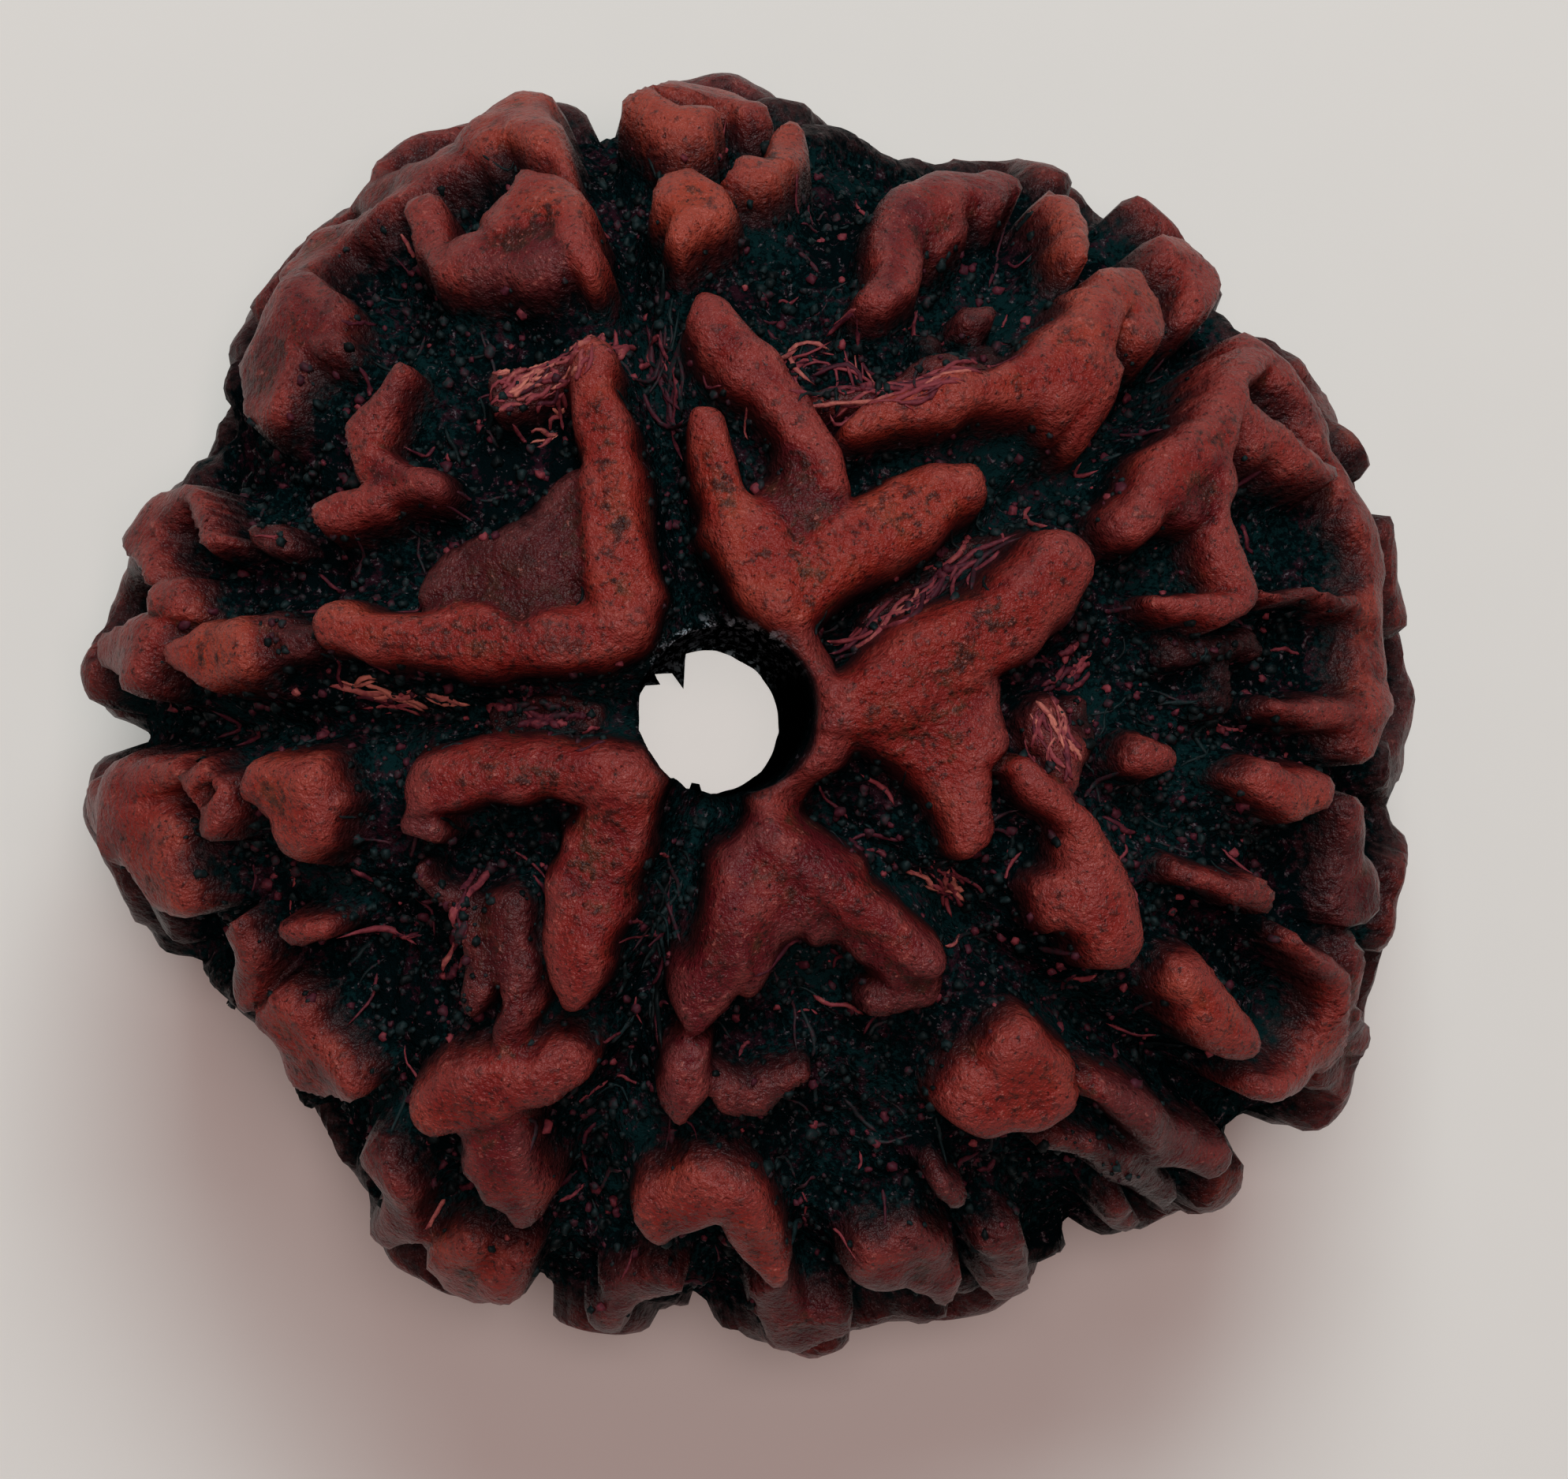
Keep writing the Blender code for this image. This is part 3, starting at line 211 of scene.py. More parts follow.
southWestRidges = {
    "bar": (0.95, 0.4, [(-1.4, -1.1, 0.59), (-2.6, -1.0, 0.57), (-3.8, -0.9, 0.54), (-4.5, -1.1, 0.57)]),
    "bar foot": (0.8, 0.2, [(-4.6, -1.6, 0.43), (-4.4, -1.9, 0.26)]),
    "lower arm": (0.97, 0.4, [(-1.5, -1.3, 0.59), (-1.8, -2.2, 0.75), (-2.0, -3.0, 0.73),
                              (-2.2, -3.9, 0.57), (-2.3, -4.4, 0.33)]),
    "pink strip": (0.62, 0.1, [(-4.7, -2.6, 0.24), (-4.1, -3.2, 0.33), (-3.9, -3.9, 0.33),
                               (-4.0, -4.6, 0.24)]),
    "slope": (0.7, 0.15, [(-3.4, -3.2, 0.47), (-3.3, -4.0, 0.45), (-3.2, -4.7, 0.43)]),
    "heart": (0.97, 0.5, [(-4.4, -6.1, 0.58), (-3.6, -5.9, 0.60), (-2.6, -5.7, 0.52)]),
    "heart neck": (0.75, 0.3, [(-3.3, -4.8, 0.31), (-3.4, -5.3, 0.38)]),
    "heart tail": (0.86, 0.3, [(-3.6, -6.7, 0.70), (-3.4, -7.3, 0.58), (-3.1, -8.2, 0.39)]),
    "shield knob": (0.95, 0.7, [(-7.1, -1.1, 0.50), (-6.6, -1.3, 0.67), (-6.5, -1.9, 0.48)]),
    "pinhole knob": (0.8, 0.6, [(-8.5, -1.0, 0.36), (-8.1, -1.4, 0.41), (-8.1, -1.8, 0.29)]),
    "rim ridge": (0.85, 0.6, [(-9.0, -0.9, 0.34), (-9.9, -1.1, 0.49), (-9.6, -1.6, 0.61),
                              (-9.3, -2.3, 0.61), (-9.0, -3.0, 0.49)]),
    "small knob": (0.8, 0.5, [(-7.0, -3.6, 0.31), (-6.6, -3.5, 0.26)]),
    "rim loop": (0.75, 0.5, [(-7.9, -3.5, 0.24), (-7.8, -4.1, 0.34), (-7.7, -4.6, 0.32)]),
    "rim knob": (0.85, 0.6, [(-7.2, -4.9, 0.34), (-6.8, -5.2, 0.44), (-6.5, -5.8, 0.54),
                             (-6.0, -6.0, 0.44)]),
    "low knob": (0.75, 0.3, [(-5.7, -7.4, 0.37), (-5.3, -7.8, 0.42), (-5.3, -8.4, 0.49)]),
    "south knob": (0.85, 0.7, [(-4.5, -8.9, 0.47), (-3.9, -9.3, 0.62), (-3.5, -9.2, 0.44)]),
    "furrow beads": (0.45, 0.2, [(-3.6, -0.1, 0.31), (-2.7, -0.1, 0.35), (-2.1, -0.1, 0.26)]),
}

upperRidges = (northWestRidges, northRidges, eastRidges, southRidges, southWestRidges)

furrows = {              # plan points on the upper face, then the turn at which each goes down the side
    "north": ([(-0.2, 1.3), (-0.6, 2.5), (-0.9, 3.8), (-1.0, 5.0), (-1.4, 6.6), (-1.7, 8.1)], 102.0),
    "north east": ([(1.7, 1.0), (2.6, 1.7), (3.8, 2.5), (5.0, 3.5), (6.3, 4.6), (7.9, 5.9)], 36.0),
    "south east": ([(1.2, -1.4), (2.1, -2.1), (3.7, -3.3), (4.9, -4.3), (6.2, -5.2), (8.2, -6.4)], -38.0),
    "south": ([(-0.3, -1.5), (-0.6, -2.6), (-1.0, -3.8), (-1.4, -5.0), (-1.6, -6.0), (-2.1, -7.2),
               (-2.6, -8.6)], -107.0),
    "west": ([(-1.6, 0.0), (-3.3, -0.1), (-5.0, -0.1), (-6.2, -0.2), (-7.4, -0.3), (-9.1, -0.3)], -178.0),
}

# The outline seen along the hole: turn, then reach of the outermost ridges from the axis.
outline = (
    (-179, 9.6), (-176, 9.8), (-173, 10.5), (-166, 10.3), (-161, 10.1), (-155, 9.3), (-150, 9.3),
    (-144, 9.1), (-138, 9.2), (-132, 8.9), (-127, 9.7), (-121, 10.3), (-114, 10.6), (-110, 10.3),
    (-107, 9.6), (-104, 10.1), (-100, 10.5), (-96, 9.8), (-91, 9.5), (-87, 10.2), (-82, 10.6),
    (-75, 10.5), (-68, 10.8), (-62, 10.9), (-57, 10.3), (-54, 10.4), (-50, 11.1), (-44, 11.5),
    (-40, 11.4), (-37, 11.1), (-32, 12.1), (-22, 11.9), (-13, 11.7), (-7, 11.2), (-1, 11.5), (7, 11.5),
    (13, 11.7), (20, 11.5), (28, 11.4), (35, 11), (38, 10.7), (42, 11.2), (46, 11), (49, 10.4),
    (57, 10.6), (62, 10.4), (69, 9.9), (76, 9.4), (79, 9.5), (83, 10.1), (88, 10.6), (95, 10.6), (99, 10),
    (102, 9.4), (105, 10.5), (109, 10.8), (115, 10.4), (123, 10.4), (132, 10.4), (141, 10.1), (146, 9.5),
    (150, 9.1), (154, 9.4), (160, 9.9), (168, 10), (175, 10.4), (178, 10),
)

sides = {                # knobs of the sides and the underside, in rows down the side
    "tilts": (83.0, 98.0, 112.0, 126.0, 139.0),
    "furrowTilts": (90.0, 105.0, 120.0, 135.0, 150.0, 162.0),
    "spacing": 2.7, "jitter": 0.4, "halfWidth": (0.52, 0.75), "height": (0.7, 0.97), "step": (0.8, 1.4),
    "drop": 6.0, "points": (2, 3), "turning": 0.9, "taper": (0.75, 1.05), "lowest": 147.0,
    "furrowClearance": 0.95,
    "armTilts": (169.0, 161.0, 153.0, 145.0, 138.0), "armOffset": 0.9, "armHeight": 0.95,
    "armBend": (-0.5, 1.1), "armWidth": (0.85, 1.2), "armSpread": 0.04, "armGrowth": (0.4, 0.06),
    "armPoints": (4, 5),
    "warmth": (0.25, 0.75),
    "rimTilt": 91.0, "rimHalfWidth": 0.7, "rimInset": 0.05, "leastHeight": 0.05,
    "rimStep": 3, "rimWaves": 9, "rimWarmth": 0.1,
    "beltTilts": (113.0, 135.0), "beltHalfWidths": (0.6, 0.6), "beltHeights": (0.5, 0.5),
    "beltGap": 1.1, "beltWave": 3.0, "beltWaves": 7, "beltPoints": 14, "beltWarmth": 0.15,
    "seed": 5,
}


def outlineReach(turn):
    # a Catmull-Rom curve through the readings of the outline, closed at half a turn
    curve = smoothPath(outline + ((outline[0][0] + 360, outline[0][1]),), 4)
    return np.interp(np.degrees(turn), curve[:, 0], curve[:, 1], period=360)


@cache
def crownTable():
    # at each degree the mean of high powers of the outline's reach within some degrees to each side
    around = np.radians(np.arange(360))
    apart = np.remainder(around[:, None] - around + math.pi, 2 * math.pi) - math.pi
    weight = np.exp(-(apart / math.radians(crown["smoothing"])) ** 2)
    power = crown["sharpness"]
    return (weight @ outlineReach(around) ** power / weight.sum(axis=1)) ** (1 / power)


def crownRadius(turn):
    # a smooth ring over the outline's peaks, and a margin
    return np.interp(np.degrees(turn), np.arange(360), crownTable(), period=360) + crown["margin"]


def crownPoint(turn, tilt):
    # a squarish ellipsoid: sine and cosine of the tilt to the power 2 / roundness, by radius and height
    flat = np.abs(np.sin(tilt)) ** (2 / crown["roundness"])
    rise = np.sign(np.cos(tilt)) * np.abs(np.cos(tilt)) ** (2 / crown["roundness"])
    reach = crownRadius(turn) * flat
    return np.stack([reach * np.cos(turn), reach * np.sin(turn), crown["halfHeight"] * rise], axis=-1)


def crownNormal(place):
    # slope of the crown's equation, made unit length
    power = crown["roundness"]
    reach = np.hypot(place[..., 0], place[..., 1])
    edge = crownRadius(np.arctan2(place[..., 1], place[..., 0]))
    side = reach ** (power - 2) / edge ** power
    up = np.sign(place[..., 2]) * np.abs(place[..., 2]) ** (power - 1) / crown["halfHeight"] ** power
    normal = np.stack([place[..., 0] * side, place[..., 1] * side, up], axis=-1)
    return normal / np.linalg.norm(normal, axis=-1, keepdims=True)


def planAngles(x, y):
    # turn and tilt of the crown point above a plan point
    turn = np.arctan2(y, x)
    share = np.minimum(np.hypot(x, y) / crownRadius(turn), 0.999)
    return turn, np.arcsin(share ** (crown["roundness"] / 2))


def cloudNoise(places, size, seed):
    # random numbers on a cubic lattice, blended between the eight corners by smooth steps
    count = 32
    lattice = np.random.default_rng(seed).uniform(-1, 1, (count, count, count))
    cell = np.floor(places / size).astype(int)
    part = places / size - cell
    part = part * part * (3 - 2 * part)
    total = np.zeros(places.shape[:-1])
    for corner in np.ndindex(2, 2, 2):
        weight = np.prod(np.where(corner, part, 1 - part), axis=-1)
        index = (cell + corner) % count
        total += weight * lattice[index[..., 0], index[..., 1], index[..., 2]]
    return total


def grainNoise(places, size, seed):
    # one round grain at a random spot in each lattice cell: the height of the tallest cap there
    count = 32
    draw = np.random.default_rng(seed)
    spots = draw.uniform(0.2, 0.8, (count, count, count, 3))
    radii = draw.uniform(0.35, 0.7, (count, count, count))
    cell = np.floor(places / size).astype(int)
    tallest = np.zeros(places.shape[:-1])
    for corner in np.ndindex(3, 3, 3):
        here = cell + corner - 1
        index = tuple(np.moveaxis(here % count, -1, 0))
        gap = np.linalg.norm(places / size - here - spots[index], axis=-1)
        cap = np.sqrt(np.clip(radii[index] ** 2 - gap ** 2, 0, None))
        tallest = np.maximum(tallest, cap)
    return tallest * size


def smoothPath(points, steps):
    # a Catmull-Rom curve through the points, with so many steps between each two
    points = np.array(points, float)
    if len(points) < 3:
        share = np.linspace(0, 1, 2)[:, None]
        return points[0] + share * (points[-1] - points[0])
    padded = np.vstack([2 * points[0] - points[1], points, 2 * points[-1] - points[-2]])
    share = (np.arange(steps) / steps)[None, :, None]
    a, b, c, d = (padded[i:len(padded) - 3 + i, None] for i in range(4))
    curve = 0.5 * (2 * b + (c - a) * share + (2 * a - 5 * b + 4 * c - d) * share ** 2
                   + (3 * b - a - 3 * c + d) * share ** 3)
    return np.vstack([curve.reshape(-1, points.shape[1]), points[-1]])


def placedStrokes():
    # each placed ridge as (crown points, half widths, heights, warmth); along the hole distances count less
    squash = np.array([1.0, 1.0, relief["upperStretch"]])
    strokes = []
    for lobe in upperRidges:
        for share, warmth, points in lobe.values():
            path = smoothPath(points, 4)
            place = crownPoint(*planAngles(path[:, 0], path[:, 1])) * squash
            heights = np.full(len(path), share * relief["depth"])
            strokes.append((place, path[:, 2] * relief["widen"], heights, warmth))
    return strokes


def heightToOutline(turn):
    # height above the core at which a ridge on the widest line meets the outline
    gap = crownRadius(turn) - outlineReach(turn) + sides["rimInset"]
    return np.maximum(relief["depth"] - gap, sides["leastHeight"])


def beltStrokes():
    # low waving ridges round each lobe between two furrows, and one all round that fills the outline
    strokes = []
    turns = sorted(turn for _, turn in furrows.values())
    for start, end in zip(turns, turns[1:] + [turns[0] + 360.0]):
        for tilt, half, height in zip(sides["beltTilts"], sides["beltHalfWidths"], sides["beltHeights"]):
            middle = crownPoint(0.0, math.radians(tilt))
            gap = math.degrees(sides["beltGap"] / math.hypot(middle[0], middle[1]))
            turn = np.radians(np.linspace(start + gap, end - gap, sides["beltPoints"]))
            wave = sides["beltWave"] * np.sin(sides["beltWaves"] * turn + tilt)
            path = crownPoint(turn, np.radians(tilt + wave))
            heights = np.full(len(turn), height * relief["depth"])
            strokes.append((path, np.full(len(turn), half), heights, sides["beltWarmth"]))
    turn = np.radians(np.arange(0, 361, sides["rimStep"]))
    tilt = np.radians(sides["rimTilt"] + sides["beltWave"] * np.sin(sides["rimWaves"] * turn))
    halves = np.full(len(turn), sides["rimHalfWidth"])
    strokes.append((crownPoint(turn, tilt), halves, heightToOutline(turn), sides["rimWarmth"]))
    return strokes


def gapToFurrows(point):
    # least distance along the side from a crown point to a furrow's own turn
    turns = np.radians([turn for _, turn in furrows.values()])
    apart = np.remainder(math.atan2(point[1], point[0]) - turns + math.pi, 2 * math.pi) - math.pi
    return np.abs(apart).min() * math.hypot(point[0], point[1])


def sideStrokes():
    # knobs and short ridges in rows down the side, each a few steps in a drawn direction
    draw = random.Random(sides["seed"])
    tint = random.Random(sides["seed"] + 3)
    jitter = sides["jitter"]
    strokes = []
    for tilt in sides["tilts"]:
        middle = crownPoint(0.0, math.radians(tilt))
        count = round(2 * math.pi * math.hypot(middle[0], middle[1]) / sides["spacing"])
        shift = draw.random()
        for index in range(count):
            turn = 2 * math.pi * (index + shift + draw.uniform(-jitter, jitter) / 2) / count
            drop = math.radians(tilt + draw.uniform(-jitter, jitter) * sides["drop"])
            point = crownPoint(turn, drop)
            heading = draw.uniform(0, 2 * math.pi)
            half = draw.uniform(*sides["halfWidth"])
            height = min(draw.uniform(*sides["height"]) * relief["depth"], float(heightToOutline(turn)))
            places, halves = [], []
            for _ in range(draw.choice(sides["points"])):
                if gapToFurrows(point) > sides["furrowClearance"]:
                    places.append(point)
                    halves.append(half)
                step = draw.uniform(*sides["step"])
                turn += step * math.cos(heading) / math.hypot(point[0], point[1])
                drop += step * math.sin(heading) / crown["halfHeight"]
                point = crownPoint(turn, min(drop, math.radians(sides["lowest"])))
                heading += draw.uniform(-sides["turning"], sides["turning"])
                half *= draw.uniform(*sides["taper"])
            if places:
                strokes.append((np.array(places), np.array(halves), np.full(len(places), height),
                                tint.uniform(*sides["warmth"])))
    return strokes


def undersideArms():
    # two bent ridges beside each furrow, from the lower end of the hole outwards
    draw = random.Random(sides["seed"] + 1)
    tint = random.Random(sides["seed"] + 2)
    strokes = []
    for _, furrowTurn in furrows.values():
        for side in (-1, 1):
            bend = draw.uniform(*sides["armBend"])
            width = draw.uniform(*sides["armWidth"])
            tilts = np.radians(sides["armTilts"][:draw.choice(sides["armPoints"])])
            middle = crownPoint(math.radians(furrowTurn), tilts)
            reach = np.hypot(middle[:, 0], middle[:, 1])
            steps = np.arange(len(tilts)) / len(sides["armTilts"])
            away = sides["armOffset"] + sides["armSpread"] * reach + bend * steps ** 2
            uneven = np.array([draw.uniform(*sides["armWidth"]) for _ in tilts])
            turns = math.radians(furrowTurn) + side * away / reach
            heights = np.full(len(tilts), sides["armHeight"] * relief["depth"])
            start, growth = sides["armGrowth"]
            strokes.append((crownPoint(turns, tilts), width * (start + growth * reach) * uneven, heights,
                            tint.uniform(*sides["warmth"])))
    return strokes


def strokeRise(places, stroke):
    # a dome across the stroke with steep flanks at its half width and a low skirt beyond them
    path, halves, heights, _ = stroke
    rise = np.zeros(len(places))
    if len(path) == 1:
        path, halves, heights = (np.repeat(part, 2, axis=0) for part in (path, halves, heights))
    for start, end, first, last, low, high in zip(path, path[1:], halves, halves[1:], heights, heights[1:]):
        span = end - start
        along = np.clip((places - start) @ span / max(span @ span, 1e-9), 0, 1)
        gap = np.linalg.norm(places - start - along[:, None] * span, axis=1)
        share = gap / (first + along * (last - first))
        height = low + along * (high - low)
        steep = np.clip(1 - relief["dome"] * share ** 2, 0, 1) / (1 + share ** relief["flankPower"])
        skirt = relief["skirt"] * np.exp(-(share / relief["skirtWidth"]) ** 2)
        rise = np.maximum(rise, height * np.maximum(steep, skirt))
    return rise


def addStrokes(places, strokes, total, warm):
    # sums of powers of the strokes' heights, and of their warmth with the same weights
    for stroke in strokes:
        path, halves, _, warmth = stroke
        reach = 2 * relief["skirtWidth"] * halves.max()
        near = np.all((places > path.min(0) - reach) & (places < path.max(0) + reach), axis=1)
        power = strokeRise(places[near], stroke) ** relief["blendPower"]
        total[near] += power
        warm[near] += power * warmth


def furrowGap(places):
    # distance to the nearest furrow line
    gap = np.full(len(places), np.inf)
    for points, turn in furrows.values():
        plan = smoothPath(points, 3)
        upper = crownPoint(*planAngles(plan[:, 0], plan[:, 1]))
        lower = crownPoint(math.radians(turn), np.radians(sides["furrowTilts"]))
        line = np.vstack([upper, lower])
        for start, end in zip(line, line[1:]):
            span = end - start
            along = np.clip((places - start) @ span / max(span @ span, 1e-9), 0, 1)
            gap = np.minimum(gap, np.linalg.norm(places - start - along[:, None] * span, axis=1))
    return gap


def swell(places):
    # slow unevenness from a few crossing waves
    return relief["swell"] * sum(np.sin(places @ np.array(way) + phase) for way, phase in relief["waves"])


def wobble(places, size, seeds):
    # three noises as one vector at each place
    return np.stack([cloudNoise(places, size, seed) for seed in seeds], axis=-1)


def stoneSurface(turn, tilt):
    # crown point moved in along the crown's normal, to the core plus the rounded maximum of all strokes
    shape = turn.shape
    place = crownPoint(turn, tilt).reshape(-1, 3)
    normal = crownNormal(place)
    sample = place + relief["wander"] * wobble(place, relief["wanderSize"], relief["wanderSeeds"])
    sample = sample + relief["fray"] * wobble(place, relief["fraySize"], relief["fraySeeds"])
    total, warm = np.full(len(place), 1e-12), np.zeros(len(place))
    addStrokes(sample * np.array([1.0, 1.0, relief["upperStretch"]]), placedStrokes(), total, warm)
    addStrokes(sample, beltStrokes() + sideStrokes() + undersideArms(), total, warm)
    ridge = total ** (1 / relief["blendPower"])
    warm = warm / total
    share = np.clip(ridge / relief["depth"], 0, 1.2)
    hollow = np.clip(1 - share / relief["hollowBelow"], 0, 1)
    hollow = hollow ** 2 * (3 - 2 * hollow)
    gap = furrowGap(place)
    furrow = np.exp(-(gap / relief["furrowHalfWidth"]) ** 2)
    onTop = np.clip((place[:, 2] - relief["topFrom"]) / relief["topRise"], 0, 1)
    depth = relief["rimFurrowDepth"] + (relief["furrowDepth"] - relief["rimFurrowDepth"]) * onTop
    height = ridge + swell(place) - depth * furrow - relief["hollowDepth"] * hollow
    height += hollow * relief["grain"] * grainNoise(place, relief["grainSize"], relief["grainSeed"])
    coarse, fine = (cloudNoise(place, size, relief["unevenSeed"] + index)
                    for index, size in enumerate(relief["unevenSizes"]))
    height += relief["unevenness"] * (coarse + relief["fineShare"] * fine)
    aside = np.hypot(place[:, 0] - pinhole["place"][0], place[:, 1] - pinhole["place"][1])
    pricked = np.exp(-(aside / pinhole["radius"]) ** 4) * (place[:, 2] > 0)
    height -= pinhole["depth"] * pricked
    surface = place - normal * (relief["depth"] - height)[:, None]
    fields = {"ridge": share, "warmth": warm, "hole": pricked}
    return surface.reshape(shape + (3,)), {name: value.reshape(shape) for name, value in fields.items()}


def spacedRows(count):
    # tilts from the hole over the top to the hole again, even along the profile but sparser underneath
    edge = math.asin((hole["radius"] / crown["meanRadius"]) ** (crown["roundness"] / 2))
    tilt = np.linspace(edge, math.pi - edge, grid["profileSteps"])
    place = crownPoint(np.zeros_like(tilt), tilt)
    step = np.linalg.norm(np.diff(place, axis=0), axis=1)
    step *= np.interp(tilt[1:], np.radians(grid["undersideFrom"]), [1.0, grid["undersideShare"]])
    length = np.concatenate([[0], np.cumsum(step)])
    return np.interp(np.linspace(0, length[-1], count), length, tilt)


def crowded(tilts, surface):
    # moves the rows of each column so that steep flanks, where the surface is long, get more of them
    step = np.linalg.norm(np.diff(surface, axis=1), axis=-1)
    for _ in range(grid["flankBlurs"]):
        step = (np.roll(step, 1, axis=0) + 2 * step + np.roll(step, -1, axis=0)) / 4
    flat = np.abs(np.diff(tilts, axis=1))
    steep = step / step.sum(axis=1, keepdims=True)
    weight = grid["flankShare"] * steep + (1 - grid["flankShare"]) * flat / flat.sum(axis=1, keepdims=True)
    length = np.concatenate([np.zeros((len(weight), 1)), np.cumsum(weight, axis=1)], axis=1)
    even = np.linspace(0, 1, length.shape[1])
    return np.stack([np.interp(even, row, old) for row, old in zip(length, tilts)])


def holeRadius(turn, height):
    # the drilled radius with fine roughness, cut short by straight edges of burrs near the lower end
    around = hole["radius"] * np.stack([np.cos(turn), np.sin(turn)], axis=-1)
    place = np.concatenate([around, height[..., None]], axis=-1)
    radius = hole["radius"] + hole["roughness"] * cloudNoise(place, hole["roughSize"], hole["seed"])
    low = np.exp(-(height / hole["burrHeight"]) ** 2)
    for start, end, distance, facing in hole["burrs"]:
        within = (np.degrees(turn) > start) & (np.degrees(turn) < end)
        edge = distance / np.cos(np.where(within, turn - math.radians(facing), 0))
        radius = radius - np.where(within, np.clip(radius - edge, 0, None) * low, 0)
    return radius


def stoneGrid():
    # a closed tube of columns round the hole and rows over the stone and back through the hole
    columns, rows = grid["columns"], grid["faceRows"]
    turn = np.repeat(np.linspace(-math.pi, math.pi, columns, endpoint=False)[:, None], rows, axis=1)
    tilt = np.repeat(spacedRows(rows)[None], columns, axis=0)
    surface, _ = stoneSurface(turn, tilt)
    tilt = crowded(tilt, surface)
    surface, fields = stoneSurface(turn, tilt)
    surface += np.array([0, 0, crown["halfHeight"] - crown["flatDepth"]])
    surface[..., 2] = np.maximum(surface[..., 2], 0)

    reach = np.hypot(surface[..., 0], surface[..., 1])
    edge = holeRadius(turn, surface[..., 2])
    inside = reach < edge
    surface[..., 0] = np.where(inside, edge * np.cos(turn), surface[..., 0])
    surface[..., 1] = np.where(inside, edge * np.sin(turn), surface[..., 1])

    share = (np.arange(1, grid["wallRows"] + 1) / (grid["wallRows"] + 1))[None, :] ** grid["wallCrowding"]
    wallTurn = np.repeat(turn[:, :1], grid["wallRows"], axis=1)
    wallRise = surface[:, -1:, 2] + share * (surface[:, :1, 2] - surface[:, -1:, 2])
    wallReach = holeRadius(wallTurn, wallRise)
    wall = np.stack([wallReach * np.cos(wallTurn), wallReach * np.sin(wallTurn), wallRise], axis=-1)
    away = np.hypot(surface[..., 0], surface[..., 1]) - hole["radius"]
    near = np.clip(1 - away / hole["rimWidth"], 0, 1)
    fields["hole"] = np.maximum(fields["hole"], near)
    surface = np.concatenate([surface, wall], axis=1)
    for name, value in fields.items():
        filler = np.full(wallReach.shape, 1.0 if name == "hole" else 0.0)
        fields[name] = np.concatenate([value, filler], axis=1)
    surface[..., :2] += np.array(crown["holeFromMiddle"])
    return surface * mm, fields


def gridFaces(columns, rows, closedColumns, closedRows):
    # one four-cornered face for each grid cell, facing outwards
    index = np.arange(columns * rows).reshape(columns, rows)
    right = np.roll(index, -1, axis=0)
    corners = np.stack([index, np.roll(index, -1, axis=1), np.roll(right, -1, axis=1), right], axis=-1)
    return corners[:columns if closedColumns else -1, :rows if closedRows else -1].reshape(-1, 4)


def convexity(surface, steps):
    # how far each point stands above the mean of its neighbours so many steps away
    around = [np.roll(surface, shift, axis=axis) for shift in (-steps, steps) for axis in (0, 1)]
    across = np.roll(surface, -1, axis=0) - np.roll(surface, 1, axis=0)
    along = np.roll(surface, -1, axis=1) - np.roll(surface, 1, axis=1)
    normal = np.cross(along, across)
    normal /= np.maximum(np.linalg.norm(normal, axis=-1, keepdims=True), 1e-12)
    return ((surface - sum(around) / 4) * normal).sum(-1)


def makeMesh(name, points, faces, material, fields=None):
    # a mesh from whole arrays, smooth shaded, with its fields as point attributes
    mesh = bpy.data.meshes.new(name)
    mesh.vertices.add(len(points))
    mesh.vertices.foreach_set("co", points.ravel())
    mesh.loops.add(faces.size)
    mesh.loops.foreach_set("vertex_index", faces.ravel())
    mesh.polygons.add(len(faces))
    mesh.polygons.foreach_set("loop_start", np.arange(len(faces)) * faces.shape[1])
    mesh.update(calc_edges=True)
    mesh.validate()
    for field, values in (fields or {}).items():
        layer = mesh.attributes.new(field, "FLOAT", "POINT")
        layer.data.foreach_set("value", values.ravel().astype(np.float32))
    mesh.shade_smooth()
    mesh.materials.append(material)
    piece = bpy.data.objects.new(name, mesh)
    bpy.context.scene.collection.objects.link(piece)
    return piece


class Wire:
    # one socket of a shader node, on which sums and products can be written; without a socket it only makes

    def __init__(self, tree, socket=None):
        self.tree, self.socket = tree, socket

    def make(self, kind, settings, inputs, output=0):
        # adds a node: settings first, then values or links of its sockets
        node = self.tree.nodes.new(kind)
        for name, value in settings.items():
            setattr(node, name, value)
        for name, value in inputs.items():
            socket = node.inputs[name]
            if isinstance(value, Wire):
                self.tree.links.new(value.socket, socket)
            else:
                socket.default_value = value
        return Wire(self.tree, node.outputs[output] if node.outputs else None)

    def count(self, operation, first, second):
        return self.make("ShaderNodeMath", {"operation": operation}, {0: first, 1: second})

    def __add__(self, other):
        return self.count("ADD", self, other)

    __radd__ = __add__

    def __sub__(self, other):
        return self.count("SUBTRACT", self, other)

    def __rsub__(self, other):
        return self.count("SUBTRACT", other, self)

    def __mul__(self, other):
        return self.count("MULTIPLY", self, other)

    __rmul__ = __mul__

    def between(self, start, end, full=1.0):
        # a smooth step from 0 at the start to full at the end, which may lie on either side of it
        return self.make("ShaderNodeMapRange", {"interpolation_type": "SMOOTHSTEP"},
                         {"Value": self, "From Min": start, "From Max": end, "To Max": full})

    def tint(self, share, first, second):
        # first colour to second by a share
        return self.make("ShaderNodeMix", {"data_type": "RGBA"}, {0: share, 6: first, 7: second}, 2)

    def field(self, name):
        return self.make("ShaderNodeAttribute", {"attribute_name": name}, {}, 2)

    def noise(self, where, size, detail=3.0, roughness=0.55, distortion=0.0):
        # fractal noise whose features are about size millimetres
        return self.make("ShaderNodeTexNoise", {}, {
            "Vector": where, "Scale": 1 / (size * mm), "Detail": detail, "Roughness": roughness,
            "Distortion": distortion})


